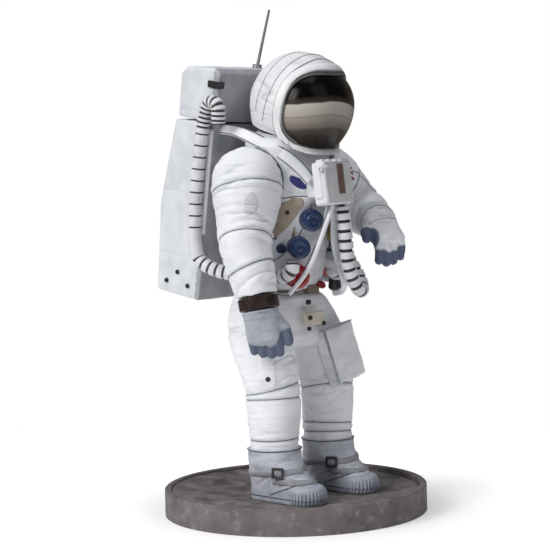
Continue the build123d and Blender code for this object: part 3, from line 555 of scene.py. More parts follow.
def visor_finish():
    """Dark mirror gloss with a plain, made-up landscape, a painted reflection that the figure's visor carries
    as print: black sky, curved pale plain, dark foreground.
    """
    material, tree, shader, where = new_material("visor_mirror")
    head_place = {"Location": Vector(spine(0, HEAD_Y, 66)) * MM, "Rotation": (LEAN, 0, 0),
                  "Scale": (0.015, 0.015, 0.015), "Vector": where}
    local = add_node(tree, "Mapping", head_place, vector_type="TEXTURE")
    split = add_node(tree, "SeparateXYZ", {"Vector": local.outputs["Vector"]})

    def maths(operation, first, second):
        return add_node(tree, "Math", {0: first, 1: second}, operation=operation).outputs[0]

    across = maths("ADD", split.outputs["X"], 0.25)
    height = maths("ADD", split.outputs["Z"], maths("MULTIPLY", maths("MULTIPLY", across, across), 0.28))
    ripple = add_node(tree, "TexNoise", {"Scale": 260, "Detail": 4, "Vector": where}).outputs["Fac"]
    height = maths("ADD", height, maths("MULTIPLY", maths("SUBTRACT", ripple, 0.5), 0.06))
    ramp = add_node(tree, "ValToRGB", {"Fac": maths("ADD", maths("MULTIPLY", height, 0.5), 0.5)})
    tones = [(0.0, (0.012, 0.009, 0.008)), (0.22, (0.035, 0.027, 0.023)), (0.305, (0.075, 0.06, 0.05)),
             (0.335, (0.17, 0.145, 0.125)), (0.45, (0.34, 0.30, 0.265)), (0.47, (0.27, 0.24, 0.21)),
             (0.49, (0.42, 0.385, 0.345)), (0.615, (0.50, 0.465, 0.42)), (0.63, (0.05, 0.042, 0.036)),
             (0.67, (0.025, 0.021, 0.018)), (0.70, (0.0015, 0.0015, 0.0015))]
    for _ in tones[2:]:
        ramp.color_ramp.elements.new(0.5)
    for element, (position, colour) in zip(ramp.color_ramp.elements, tones):
        element.position = position
        element.color = (*colour, 1)
    to_gold = maths("MULTIPLY", maths("SUBTRACT", split.outputs["X"], 0.1), 0.9)
    gold = add_node(tree, "Mix", {"Factor": to_gold, 6: ramp.outputs["Color"], 7: (0.15, 0.095, 0.035)},
                    data_type="RGBA", clamp_factor=True)
    smear = add_node(tree, "MapRange", {"To Min": 0.16, "To Max": 0.26, "Value": ripple})
    fill(shader, {"Base Color": gold.outputs[2], "Roughness": smear.outputs["Result"],
                  "Specular IOR Level": 0.1})
    return material


VISOR = visor_finish()

NODE_FINISHES = [  # materials of the CAD nodes that stay in sight
    # the left wrist ring takes the grey cloth as painted shade, since it lies in shade
    (ROCK, ["stand_rim"]), (COVER, ["stand_cover"]), (SUIT_GREY_AND_SHADE, ["neck_ring", "wrist_ring_left"]),
    (BRONZE, ["wrist_ring_right"]), (BELT, ["waist_belt"]),
    (METAL, ["boot_screws", "antenna_socket", "antenna", "shoulder_pin_right", "shoulder_pin_left",
             "elbow_pin_right", "elbow_pin_left"]),
    (BLACK, ["waist_post", "neck_plug", "pack_snaps", "pack_latches", "pack_spacers", "backpack_mount",
             "shoulder_hub_right", "shoulder_hub_left"]),
]
for material, node_names in NODE_FINISHES:
    for node_name in node_names:
        node_materials = frame["nodes"][node_name].data.materials
        node_materials.clear()
        node_materials.append(material)

# ---- legs and pelvis
LEG_LEVELS = [  # height, y, radius
    (22.0, ANKLE_Y, 8.2), (25.5, ANKLE_Y, 8.5), (28.0, ANKLE_Y, 8.7), (31.0, ANKLE_Y, 8.9), (34.0, -3.6, 9.2),
    (38.0, -3.8, 9.35), (42.0, -3.6, 9.45), (46.0, -3.2, 9.6), (50.0, -2.2, 10.1), (54.0, -1.0, 10.6),
    (58.0, 0.4, 11.0), (62.0, 1.8, 11.2), (66.0, 2.8, 10.8)]
LEG_SEAMS = {  # height, tilt and the angle that it tilts to, from the front
    "right": [(28.2, 0.2, 0.4), (42.4, 0.3, -1.9), (45.6, 1.0, 1.2)],
    "left": [(30.4, 1.3, -0.9), (43.4, 1.3, -0.9), (27.2, 0.9, -0.9)],
}
leg_trees = {}
for side_name, side in SIDES.items():
    x = side * LEG_X
    leg_rings = [oval(radius, radius, 2) + (x, y, z) for z, y, radius in LEG_LEVELS]
    leg = fused(f"leg_suit_{side_name}", [loft(leg_rings)], SUIT, 0.42, 3)
    leg_axis = Axis([(x, y, z) for z, y, _ in LEG_LEVELS], (0, -1, 0))
    leg_seams = [(z - LEG_LEVELS[0][0], tilt, turn) for z, tilt, turn in LEG_SEAMS[side_name]]
    creased(leg, leg_axis, 3.2, 1.0, 11.0 + side, leg_seams,
            lambda p: 0.8 + 0.2 * np.clip((p[:, 2] - 44) / 10, 0, 1))
    leg_tree = leg_trees[side_name] = surface(leg)
    seams = stitched(f"leg_seams_{side_name}", leg_tree, leg_axis, leg_seams, SEAM)
    place(leg, "stand", "suit", f"thigh_{side_name}", f"knee_{side_name}", f"shin_{side_name}")
    place(seams, "stand", "black")

PELVIS_LEVELS = [  # height, half width, half depth, y
    (59.6, 23.6, 9.6, 1.4), (61.0, 24.9, 10.9, 1.7), (63.5, 25.2, 11.3, 2.2), (67.0, 23.9, 11.8, 3.4),
    (70.5, 22.2, 12.0, 4.4), (74.0, 19.6, 12.2, 5.2), (77.0, 16.8, 12.2, 5.9)]
pelvis_rings = [oval(a, b, 2.9) + (0, y, z) for z, a, b, y in PELVIS_LEVELS]
pelvis_rings.append(from_spine(oval(14.3, 12.1, 2.9) + (0, 0, -0.35)))
pelvis = fused("pelvis_suit", [loft(pelvis_rings)], SUIT, 0.5, 5)
pelvis_axis = Axis([(0, 1.5, 58), (0, 4, 68), spine(0, 0, -0.2)], (0, -1, 0))
creased(pelvis, pelvis_axis, 3.6, 0.7, 31.0, calm=lambda p: 0.9 * (to_spine(p)[:, 2] < -1.0))
place(pelvis, "stand", "suit", "pelvis")

# ---- torso
TORSO_LEVELS = [  # height, half width, half depth and y in the spine frame
    (0.15, 10.9, 12.0, -1.0), (3.0, 10.9, 12.6, -1.2), (9.0, 10.8, 14.0, -1.6), (20.0, 11.6, 16.0, -1.6),
    (34.0, 11.8, 16.0, -1.0), (44.0, 12.0, 13.9, 0.0), (48.0, 14.5, 12.6, 0.3), (51.5, 16.6, 11.5, 0.5),
    (54.0, 15.2, 10.9, 0.0), (55.2, 13.8, 10.5, -0.5)]
torso_rings = [from_spine(oval(a, b, 3.0) + (0, y, z)) for z, a, b, y in TORSO_LEVELS]
torso = fused("torso_suit", [loft(torso_rings)], SUIT, 0.5, 4)


def clear_of_shoulders(points, radius):
    """Moves points that lie inside either shoulder's ball out to its surface."""
    for name in SIDES:
        offset = points - SHOULDER[name]
        distance = np.linalg.norm(offset, axis=1)[:, None]
        points = np.where(distance < radius, SHOULDER[name] + offset / distance * radius, points)
    return points


set_points(torso, clear_of_shoulders(points_of(torso), 12.75))
torso_axis = Axis([spine(0, -1, -1), spine(0, -1, 30), spine(0, 0, 56)], (0, -1, 0))
creased(torso, torso_axis, 4.6, 0.5, 47.0, calm=lambda p: 1.0 * (np.abs(to_spine(p)[:, 0]) < 11))
set_points(torso, clear_of_shoulders(points_of(torso), 12.65))
torso_tree = surface(torso)
place(torso, "torso", "suit", "torso_front", "torso_back")

# ---- arms
RING_HEIGHT = 4.4
UPPER_SLEEVE = [(0.0, 12.1), (0.22, 12.0), (0.48, 10.9), (0.73, 9.7), (1.0, 9.1)]
LOWER_SLEEVE = [(0.0, 8.9), (0.3, 8.5), (0.55, 8.0), (0.8, 7.3), (0.96, 7.0)]
SLEEVE_SHIFT = {"right": (-0.7, 0.9, 0), "left": (0, 0, 0)}
SLEEVE_FLAT = 13.05                       # the sleeves stay this far from the middle, beside the torso
SLEEVE_SEAMS = {  # distance from the sleeve's start above the shoulder, tilt, tilt angle
    "right": [(12.0, 1.6, 2.4), (30.2, 1.8, -2.2), (39.8, 1.5, 2.6)],
    "left": [(14.0, 1.2, 0.5), (29.0, 1.0, 1.0)],
}
SLEEVE_FRONT = {"right": (0, -1, 0), "left": (0, 0, 1)}
sleeve_trees = {}
for side_name, side in SIDES.items():
    shoulder, wrist = SHOULDER[side_name], WRIST[side_name]
    elbow = ELBOW[side_name] + SLEEVE_SHIFT[side_name]
    upper, lower = elbow - shoulder, wrist - elbow
    upper_length, lower_length = np.linalg.norm(upper), np.linalg.norm(lower) - RING_HEIGHT
    upper, lower = unit(upper), unit(lower)
    sleeve = fused(f"sleeve_{side_name}", [
        ball(shoulder, 12.15), ball(elbow, 8.95),
        turned([(radius, share * upper_length) for share, radius in UPPER_SLEEVE], shoulder, upper),
        turned([(radius, share * lower_length) for share, radius in LOWER_SLEEVE], elbow, lower)],
        SUIT, 0.42, 7)
    sleeve_axis = Axis([shoulder - upper * 9, shoulder, elbow, elbow + lower * (lower_length + 0.5)],
                       SLEEVE_FRONT[side_name])
    creased(sleeve, sleeve_axis, 3.2, 1.25, 61.0 + 5 * side, SLEEVE_SEAMS[side_name])
    points = points_of(sleeve)
    inner = (np.linalg.norm(points - shoulder, axis=1) > 12.9) & (points[:, 2] < shoulder[2] + 4)
    points[:, 0] = np.where(inner, side * np.maximum(side * points[:, 0], SLEEVE_FLAT), points[:, 0])
    set_points(sleeve, points)
    sleeve_tree = sleeve_trees[side_name] = surface(sleeve)
    seams = stitched(f"sleeve_seams_{side_name}", sleeve_tree, sleeve_axis, SLEEVE_SEAMS[side_name], SEAM)
    bend_from, bend_to = (elbow - upper * 7) * MM, (elbow + lower * 7) * MM
    bodies = (f"upper_arm_{side_name}", f"forearm_{side_name}", tuple(bend_from), tuple(bend_to))
    place(sleeve, bodies, "suit", f"upper_arm_{side_name}", f"forearm_{side_name}")
    place(seams, bodies, "black")

# ---- helmet
HEAD_MIDDLE, HEAD_TOP, HEAD_BOTTOM = 66.4, 84.3, 56.2
HOOD_WIDTH, HOOD_DEPTH = 17.1, 18.1
OPENING = (21.0, 12.7, 3.3)               # the face's: half width round the helmet, half height, squareness
OPENING_Z = 67.3
NOD = radians(8)
HEAD_SHIFT = np.array([0, -1.9, 0.3])
HEAD_ROUND = 17.5                         # mean radius, which turns angles round the helmet into lengths


def from_head(points, move=1.0):
    """From the upright helmet's place to the bowed one, in the stand's frame; move 0 turns directions."""
    centre = np.array([0, HEAD_Y, HEAD_MIDDLE])
    x, y, z = (np.asarray(points, float) - move * centre).T
    turned_points = np.stack([x, y * cos(NOD) - z * sin(NOD), y * sin(NOD) + z * cos(NOD)], 1)
    return (turned_points + move * (centre + HEAD_SHIFT)) @ SPINE_AXES + move * WAIST


def head_surface(inset, around, rows):
    """Rings of the helmet's outer surface, moved in by inset, in the spine frame, from the top down."""
    angles = circle(around)
    front = np.clip((-np.sin(angles) - 0.2) / 0.6, 0, 1)
    bottom = HEAD_BOTTOM + inset - 3.6 * front * front * (3 - 2 * front)
    rings = []
    for share in np.linspace(0.008, 1, rows):
        if share < 0.62:
            turn = share / 0.62 * pi / 2
            size = sin(turn) ** 0.94
            z = np.full(around, HEAD_MIDDLE + (HEAD_TOP - inset - HEAD_MIDDLE) * cos(turn))
        else:
            down = (share - 0.62) / 0.38
            size = 1 - 0.13 * down ** 1.8
            z = HEAD_MIDDLE - (HEAD_MIDDLE - bottom) * down
        outline = oval((HOOD_WIDTH - inset) * size, (HOOD_DEPTH - inset) * size, 2.15, around)
        rings.append(np.c_[outline[:, 0], outline[:, 1] + HEAD_Y, z])
    return np.array(rings)


def opening_reach(points, grow=0.0):
    """Below 1 inside the face opening's outline, measured round the helmet."""
    x = np.abs(np.arctan2(points[..., 0], HEAD_Y - points[..., 1])) * HEAD_ROUND / (OPENING[0] + grow)
    z = np.abs(points[..., 2] - OPENING_Z) / (OPENING[1] + grow)
    return (x ** OPENING[2] + z ** OPENING[2]) ** (1 / OPENING[2])


def shape_tree(vertices, faces):
    return BVHTree.FromPolygons([Vector(v) for v in vertices], faces)


def on_helmet(tree, around, z):
    """Point and normal at a distance round the helmet from its front, and a height."""
    out = Vector((sin(around / HEAD_ROUND), -cos(around / HEAD_ROUND), 0))
    hit, normal = tree.ray_cast(Vector((0, HEAD_Y, z)), out)[:2]
    if hit is None:
        hit, normal = tree.find_nearest(Vector((0, HEAD_Y, z)) + out * 17)[:2]
    return np.array(hit), np.array(normal) * (1 if normal.dot(out) > 0 else -1)


def head_shell(name, inset, material, thickness, keep_inside, grow, bulge=0.0):
    """The helmet's surface, cut along the face opening: all but the opening, or only the opening."""
    vertices, faces = loft(head_surface(inset, 220, 130))
    faces.pop()                           # open at the neck
    tree = shape_tree(vertices, faces)
    centres = np.array([vertices[list(face)].mean(0) for face in faces])
    inside = opening_reach(centres, grow) < 1
    kept = [face for face, is_in in zip(faces, inside) if is_in == keep_inside]
    dropped = [face for face, is_in in zip(faces, inside) if is_in != keep_inside]
    for index in {v for face in kept for v in face} & {v for face in dropped for v in face}:
        x, y, z = vertices[index]
        reach = opening_reach(vertices[index], grow)
        around_at = np.arctan2(x, HEAD_Y - y) * HEAD_ROUND / reach
        vertices[index] = on_helmet(tree, around_at, OPENING_Z + (z - OPENING_Z) / reach)[0]
    swell = bulge * np.clip(1 - opening_reach(vertices, grow) ** 2, 0, 1) * (vertices[:, 1] < HEAD_Y)
    vertices = vertices + unit_rows(vertices - (0, HEAD_Y, HEAD_MIDDLE)) * swell[:, None]
    used = sorted({v for face in kept for v in face})
    renumber = {old: new for new, old in enumerate(used)}
    kept = [tuple(renumber[v] for v in face)[::-1] for face in kept]
    made = piece(name, [(from_head(vertices[used]), kept)], material)
    return modified(made, "SOLIDIFY", thickness=thickness, offset=-1.0)


plain_helmet = shape_tree(*loft(head_surface(0, 160, 90)))


def opening_line(grow, lift, count=160):
    """The face opening's outline on the helmet: points and outward normals, in the stand's frame."""
    outline = even(oval(OPENING[0] + grow, OPENING[1] + grow, OPENING[2], 300), count)
    found = [on_helmet(plain_helmet, x, OPENING_Z + z) for x, z, _ in outline]
    points, normals = (np.array(part) for part in zip(*found))
    return from_head(points + normals * lift), from_head(normals, 0.0)


hood = head_shell("hood_cover", 0.0, HOOD, 1.3, False, 0.9)
hood_axis = Axis([spine(0, HEAD_Y, 52), spine(0, HEAD_Y, 68), spine(0, HEAD_Y, 86)], (0, -1, 0))
creased(hood, hood_axis, 6.0, 0.3, 83.0)
hood_tree = surface(hood)
place(hood, "head", "suit", "helmet_hood")
visor = head_shell("visor_glass", 0.9, VISOR, 0.8, True, 0.3, 2.1)
place(visor, "head", "visor", "visor")
rim_points, rim_normals = opening_line(1.9, 0.05)
add("hood_rim", [tube(rim_points, 1.75, 14, True, 0.36, rim_normals)], RIM_BAND, "head", "suit")
trim_points, trim_normals = opening_line(0.3, -0.4)
trim = tube(trim_points, 0.6, 12, True, 0.9, trim_normals)
add("visor_trim", [trim], FRAME, "head", "frame", "visor_frame")


def on_hood(points, lift=0.06):
    """The same line laid on the hood's creased cloth."""
    centre = Vector(from_head([(0, HEAD_Y, HEAD_MIDDLE)])[0])
    laid = []
    for point in points:
        hit = hood_tree.find_nearest(Vector(point))[0]
        laid.append(np.array(hit + (hit - centre).normalized() * lift))
    return smooth_line(laid, len(laid), 2)


def head_arc(front_at, slope, reach, count=90):
    """Line over the helmet in a plane that crosses it from side to side: front_at is its y at mid height."""
    line = []
    for angle in np.linspace(-radians(reach), radians(reach), count):
        direction = Vector((sin(angle), slope * cos(angle), cos(angle))).normalized()
        hit = plain_helmet.ray_cast(Vector((0, HEAD_Y + front_at, HEAD_MIDDLE)), direction)[0]
        if hit is not None:
            line.append(np.array(hit))
    return on_hood(from_head(line))


arcs = [tube(head_arc(front_at, slope, reach), radius, 8) for front_at, slope, reach, radius in [
    (1.2, -0.12, 112, 0.16), (6.0, -0.05, 104, 0.16), (-3.6, -0.62, 64, 0.12), (-1.6, -0.62, 64, 0.12)]]
add("hood_seams", arcs, SEAM_SOFT, "head", "strap")
slit_lines = [tube(opening_line(grow, lift)[0], radius, 8, True)
              for grow, lift, radius in [(0.55, 0.22, 0.24), (3.7, 0.12, 0.12)]]
add("hood_slit", slit_lines, SEAM, "head", "black")

# ---- boots
HEEL, TOE = (0.6, 5.9), (-18.4, 6.6)      # centre and radius of the round heel and toe


def footprint(x, z, heel_y, heel_radius, toe_y, toe_radius, count=96):
    """Outline round two circles."""
    direction = np.stack([np.cos(circle(720)), np.sin(circle(720))], 1)
    on_heel = heel_y * direction[:, 1] + heel_radius > toe_y * direction[:, 1] + toe_radius
    heel, toe = direction * heel_radius + (0, heel_y), direction * toe_radius + (0, toe_y)
    outline = np.where(on_heel[:, None], heel, toe)
    return even(np.c_[outline[:, 0] + x, outline[:, 1], np.full(720, z)], count)


BOOT_LEVELS = [  # height, y and radius of the heel, y and radius of the toe
    (8.6, 0.6, 5.5, -18.2, 6.1), (11.0, 0.6, 5.6, -17.6, 6.1), (13.0, 0.4, 5.9, -15.2, 6.1),
    (15.0, -0.2, 6.6, -11.6, 6.6), (17.0, -1.1, 7.6, -8.0, 7.6), (19.0, -2.2, 8.4, -5.8, 8.4),
    (21.4, -2.9, 8.9, -4.3, 8.9), (24.2, -3.2, 9.3, -3.7, 9.3), (24.9, -3.3, 9.5, -3.5, 9.5),
    (25.2, -3.3, 9.3, -3.5, 9.3)]
OVERSHOE = [(6.45, 5.6, 6.3), (6.8, 5.85, 6.6), (10.4, 5.85, 6.6), (11.8, 5.4, 6.4), (12.7, 4.6, 5.6),
            (12.9, 3.4, 4.4)]             # height, heel radius, toe radius
TOE_RIB = [(0, 7.0), (0.1, 9.0), (0, 10.6), (-0.8, 11.9), (-2.4, 12.75)]        # distance out, height
CUFF_RADIUS = 9.55
boot_trees = {}
for side_name, side in SIDES.items():
    x = side * LEG_X
    boot_shape = loft([footprint(x, *level) for level in BOOT_LEVELS])
    boot = fused(f"boot_{side_name}", [boot_shape], BOOT, 0.42, 6)
    boot_axis = Axis([(x, -14, 6), (x, -8, 12), (x, -4, 18), (x, ANKLE_Y, 30)], (0, -1, 0))
    creased(boot, boot_axis, 3.0, 0.5, 101.0 + side)
    boot_trees[side_name] = surface(boot)
    place(boot, "stand", "boot", f"boot_upper_{side_name}")
    shoe_shape = loft([footprint(x, z, HEEL[0], heel, TOE[0], toe) for z, heel, toe in OVERSHOE])
    ribs = []
    for step in np.linspace(-1.75, 1.75, 19):
        out = np.array([sin(step), -cos(step), 0])
        ribs.append(tube([(x, TOE[0], z) + out * (TOE[1] + reach) for reach, z in TOE_RIB], 0.34, 8))
    shoe = fused(f"overshoe_{side_name}", [shoe_shape], RUBBER, 0.5, 2)
    place(shoe, "stand", "boot_rubber", f"boot_sole_{side_name}")
    add(f"toe_ribs_{side_name}", ribs, RUBBER, "stand", "boot_rubber")
    welt = tube(footprint(x, 8.4, HEEL[0], HEEL[1] + 0.02, TOE[0], TOE[1] + 0.02, 140), 0.22, 8, True)
    cuff_line = [(x + CUFF_RADIUS * cos(a), ANKLE_Y + CUFF_RADIUS * sin(a), 24.7) for a in circle(90)]
    cuff = tube(cuff_line, 0.22, 8, True)
    add(f"boot_seams_{side_name}", [welt, cuff], SEAM, "stand", "black")
    whole_shoe = fused("whole_shoe", [shoe_shape, boot_shape], BOOT, 0.5, 3)     # only carries the toe seam
    shoe_tree, seam_points = surface(whole_shoe), []
    bpy.data.objects.remove(whole_shoe)
    for turn in np.linspace(radians(-112), radians(112), 70):
        direction = Vector((sin(turn), -cos(turn), 0.36 * cos(turn))).normalized()
        hit = shoe_tree.ray_cast(Vector((x, -9.0, 10.2)), direction)[0]
        if hit is not None:
            seam_points.append(np.array(hit))
    add(f"toe_seam_{side_name}", [tube(smooth_line(seam_points, 70, 2), 0.24, 8)], SEAM, "stand", "black")

# ---- gloves
GLOVES = {  # palm, finger and thumb directions, lengths and the thumb's ends out from the wrist
    "right": {"palm": (0, -0.2, -0.98), "fingers": (0.42, 0.24, -0.87), "side": (0.682, -0.731, 0),
              "palm_length": 10.2, "finger_length": 6.6, "thumb": [(5.4, 2.5), (7.4, 6.8), (7.9, 11.2)]},
    "left": {"palm": (-0.3, -0.74, -0.6), "fingers": (0.02, 0.1, -0.99), "side": (-0.93, 0.37, 0),
             "palm_length": 9.8, "finger_length": 8.6, "thumb": [(4.6, 1.5), (7.0, 5.0), (8.3, 8.4)]},
}

for side_name, side in SIDES.items():
    glove = GLOVES[side_name]
    wrist = WRIST[side_name]
    lower = unit(wrist - ELBOW[side_name])
    palm, fingers, across = unit(glove["palm"]), unit(glove["fingers"]), unit(glove["side"])
    knuckles = wrist + palm * glove["palm_length"]
    root = wrist + lower * 0.45
    rings = []
    for centre, normal, half_width, half_depth in [
            (root, lower, 6.1, 6.0), (root + lower * 1.6, lower, 6.2, 5.6),
            (wrist + palm * 4.6, palm, 6.0, 4.5), (wrist + palm * 7.6, palm, 6.2, 4.1),
            (knuckles, palm + fingers * 0.5, 6.1, 3.8), (knuckles + fingers * 1.6, fingers + palm, 5.6, 3.2)]:
        first, second = frame_of(normal, across)
        outline = oval(half_width, half_depth, 2.6, 60)
        rings.append(centre + outline[:, :1] * first + outline[:, 1:2] * second)
    parts = [loft(rings)]
    tips = []
    for k, (reach, radius) in enumerate([(0.96, 1.75), (1.06, 1.8), (1.0, 1.75), (0.84, 1.6)]):
        spread = across * (4.35 - 2.9 * k)
        start = knuckles + spread - fingers * 0.6
        middle = start + unit(fingers * 0.8 + palm * 0.5) * glove["finger_length"] * 0.55 * reach
        tip = middle + unit(fingers - palm * 0.12) * glove["finger_length"] * 0.42 * reach
        parts += [capsule(start, middle, radius * 1.12, radius), capsule(middle, tip, radius, radius * 0.88)]
        tips.append(tip)
    thumb = [wrist + across * out + palm * along for out, along in glove["thumb"]]
    parts += [capsule(thumb[0] - across * 1.2, thumb[1], 2.5, 2.1), capsule(thumb[1], thumb[2], 2.05, 1.75)]
    tips.append(thumb[2])
    # the right glove takes the darker copy: painted shade, as the right hand lies in shade
    cloth = GLOVE_SHADED if side_name == "right" else GLOVE
    hand = fused(f"glove_skin_{side_name}", parts, cloth, 0.3, 5)
    hand_axis = Axis([root - lower, knuckles, knuckles + fingers * glove["finger_length"]], across)
    creased(hand, hand_axis, 2.4, 0.4, 131.0 + side, calm=lambda p: 0.7)
    points = points_of(hand)
    points += np.clip((root - points) @ lower, 0, None)[:, None] * lower      # cut square at the wrist ring
    set_points(hand, points)
    nearest = np.min([np.linalg.norm(points - tip, axis=1) - 1.8 for tip in tips], 0)
    paint(hand, "tip", np.clip((3.2 - nearest) / 0.7, 0, 1))
    seam = stitched(f"glove_seams_{side_name}", surface(hand), hand_axis, [(4.0, 0.2, 0)], SEAM_SOFT, 0.13)
    place(hand, f"hand_{side_name}", "glove", f"glove_{side_name}")
    place(seam, f"hand_{side_name}", "strap")
    first, second = frame_of(lower)
    cuff_line = [root + lower * 0.5 + 6.15 * (first * cos(a) + second * sin(a)) for a in circle(60)]
    add(f"glove_cuff_{side_name}", [tube(cuff_line, 0.4, 8, True)], cloth, f"hand_{side_name}", "glove")

# ---- backpack
PACK_SIDE = [(20.4, -7.6), (20.2, 56.6), (39.6, 56.2), (44.2, 25.4), (42.1, -7.3)]        # side outline: y, z
UPPER_SIDE = [(19.6, 57.0), (19.2, 74.4), (21.6, 76.3), (35.9, 75.5), (38.7, 72.6), (38.4, 57.0)]
PACK_HALF = 19.0
for part_name, profile, joint, levels, nodes in [
        ("lower", PACK_SIDE, 22.4, (30.5, 7.5), ("backpack_shell", "backpack_front")),
        ("upper", UPPER_SIDE, 22.0, (60.5,), ("upper_pack_shell", "upper_pack_front"))]:
    ring = even([(0, y, z) for y, z in profile], 240)
    rings = [from_spine(ring + (half, 0, 0)) for half in (-PACK_HALF, PACK_HALF)]
    cover = fused(f"{part_name}_pack_cover", [loft(rings)], [PACK, PACK_FRONT_SHADED], 0.6, 3)
    points, normals = points_of(cover), normals_of(cover)
    local = to_spine(points)
    broad = noise_at(local, (9, 9, 14), 7.0)
    fine = noise_at(local, (4, 4, 5), 17.0)
    near_edge = np.clip(np.minimum(PACK_HALF - np.abs(local[:, 0]), 3) / 3, 0.0, 1)
    push = -0.05 - 0.154 * near_edge * (0.6 - np.abs(broad)) - 0.10 * np.clip(fine, 0, 1) * near_edge
    seam = np.exp(-((local[:, 1] - joint) / 0.3) ** 2)
    for level in levels:
        seam = np.maximum(seam, 0.5 * np.exp(-((local[:, 2] - level) / 0.28) ** 2) * (local[:, 1] > joint))
    set_points(cover, points + normals * (push - 0.22 * seam)[:, None])
    # painted shade: darker where the cover is pressed in; the seams are dark lines
    paint(cover, "shade", np.clip(0.10 + 0.22 * fine, 0, 0.3) + 0.7 * seam)
    # the faces in front of the joint take the darker copy of the cover: painted shade
    slots = [int(to_spine(np.array(polygon.center))[1] < joint) for polygon in cover.data.polygons]
    cover.data.polygons.foreach_set("material_index", slots)
    place(cover, "torso", "pack", *nodes)

edge_parts = [(slab(size, at(spine(side * x, y, z), ACROSS, TO_BACK), bevel), slot) for side in SIDES.values()
              for size, x, y, z, bevel, slot in [
                  ((1.5, 2.0, 38), 19.2, 20.9, 35.6, 0.5, 0), ((0.9, 1.3, 36), 18.9, 22.9, 35.2, 0.3, 1),
                  ((1.4, 2.2, 10), 19.1, 22.6, 37.4, 0.5, 1)]]
add_hard("pack_edge_strips", edge_parts, [RIM_BAND, BLACK], "torso", "pack")

# ---- hoses
SIDE_HOSE = [(21.8, 15.2, 57.6), (22.2, 15.6, 65.0), (22.2, 23.0, 64.0), (22.2, 23.0, 10.0),
             (20.6, 14.0, 5.2), (15.0, 4.0, 4.8)]
HOSES = {  # in the spine frame
    "hose_right": [(-x, y, z) for x, y, z in SIDE_HOSE] + [(-15.0, -12.0, 6.4), (-14.9, -19.8, 10.0),
                                                           (-14.5, -18.9, 13.6)],
    "hose_left": SIDE_HOSE + [(15.0, -12.0, 5.4), (11.4, -17.8, 7.6), (8.0, -18.0, 9.6)],
    "hose_front": [(2.4, -24.9, 33.4), (3.4, -27.0, 22.0), (4.8, -28.4, 11.0), (11.0, -30.2, 2.6),
                   (15.4, -26.6, 5.6), (14.6, -19.9, 13.2)],
}
SIDE_BANDS = [(0, 20, 1.7, 0.75), (20, 58, 4.2, 0.55), (66, 200, 2.75, 0.8)]
BANDS = {  # along the hose in millimetres: from, to, rib spacing, groove width
    "hose_right": SIDE_BANDS, "hose_left": SIDE_BANDS, "hose_front": [(0, 60, 3.4, 1.1)]}
HOSE_RADIUS, HOSE_AROUND = 2.55, 22
for hose_name, route in HOSES.items():
    line = smooth_line([from_spine(point) for point in route], 900, 5)
    along = distances(line)
    groove = np.zeros(len(line))
    for start, end, pitch, width in BANDS[hose_name]:
        phase = np.abs((along - start) % pitch - pitch / 2)
        deep = np.clip((width / 2 - phase) / 0.12 + 0.5, 0, 1)
        groove = np.where((along >= start) & (along < end), deep, groove)
    hose = piece(hose_name + "_ribbed", [tube(line, HOSE_RADIUS - 0.5 * groove, HOSE_AROUND)], HOSE)
    paint(hose, "shade", np.repeat(groove, HOSE_AROUND))
    place(hose, "torso", "hose", hose_name)

# ---- chest fittings
CONNECTORS = {  # x, height, front face, turn to the side, radius, depth, in the spine frame
    "blue": [(-5.7, 27.9, -18.1, 24, 3.9, 2.2), (-8.5, 18.0, -16.0, 36, 3.9, 2.6),
             (12.0, 18.0, -14.6, -40, 4.1, 3.0), (-10.4, 16.7, -10.0, 72, 1.75, 1.6)],
    "red": [(-8.1, 7.8, -15.7, 22, 4.2, 2.8), (10.8, 9.6, -13.4, 20, 3.6, 2.6),
            (5.8, 3.7, -15.2, 20, 1.3, 1.8)],
}
BODY_PROFILE = [(1, 0.45), (0.9, 0.55), (0.9, 0.72), (0.97, 0.8)]      # shares of the radius and of the depth
FACE_PROFILE = [(0.97, -0.1), (0.92, 0), (0.74, 0), (0.72, 0.5), (0.66, 0.85), (0.5, 0.85), (0.46, 0.45),
                (0.2, 0.4), (0.18, 0.8)]  # share of the radius, distance from the face
for (colour, fittings), material in zip(CONNECTORS.items(), (BLUE, RED)):
    parts = []
    for x, z, front, turn, radius, depth in fittings:
        outward = spine_vector(-sin(radians(turn)), -cos(radians(turn)), 0)
        profile = [(radius, -3)] + [(share * radius, part * depth) for share, part in BODY_PROFILE]
        profile += [(share * radius, depth + out) for share, out in FACE_PROFILE] + [(0.01, depth + 0.85)]
        parts.append(turned(profile, spine(x, front, z), outward, 64))
        first, second = frame_of(outward)
        for step in range(3):
            angle = 2 * pi * step / 3 + 0.4
            spoke = first * cos(angle) + second * sin(angle)
            spot = spine(x, front, z) + outward * (depth + 0.3) + spoke * 0.6 * radius
            parts.append(slab((radius * 0.5, 0.5, 0.5), at(spot, spoke, np.cross(outward, spoke)), 0.12))
    add_hard(f"{colour}_fittings", parts, material, "torso", colour, f"connectors_{colour}", width=0.08,
             smooth=True)

UNIT_TILT = radians(16)
UNIT_UP = spine_vector(0, sin(UNIT_TILT), cos(UNIT_TILT))
UNIT_OUT = spine_vector(0, -cos(UNIT_TILT), sin(UNIT_TILT))
UNIT_FACE = spine(-1.6, -22.6, 41.4) + UNIT_OUT * 3.3


def on_unit(x, out, up):
    """A place on the control unit: out is from its front face, up from its middle."""
    return at(UNIT_FACE + ACROSS * x + UNIT_OUT * out + UNIT_UP * up, ACROSS, UNIT_UP)


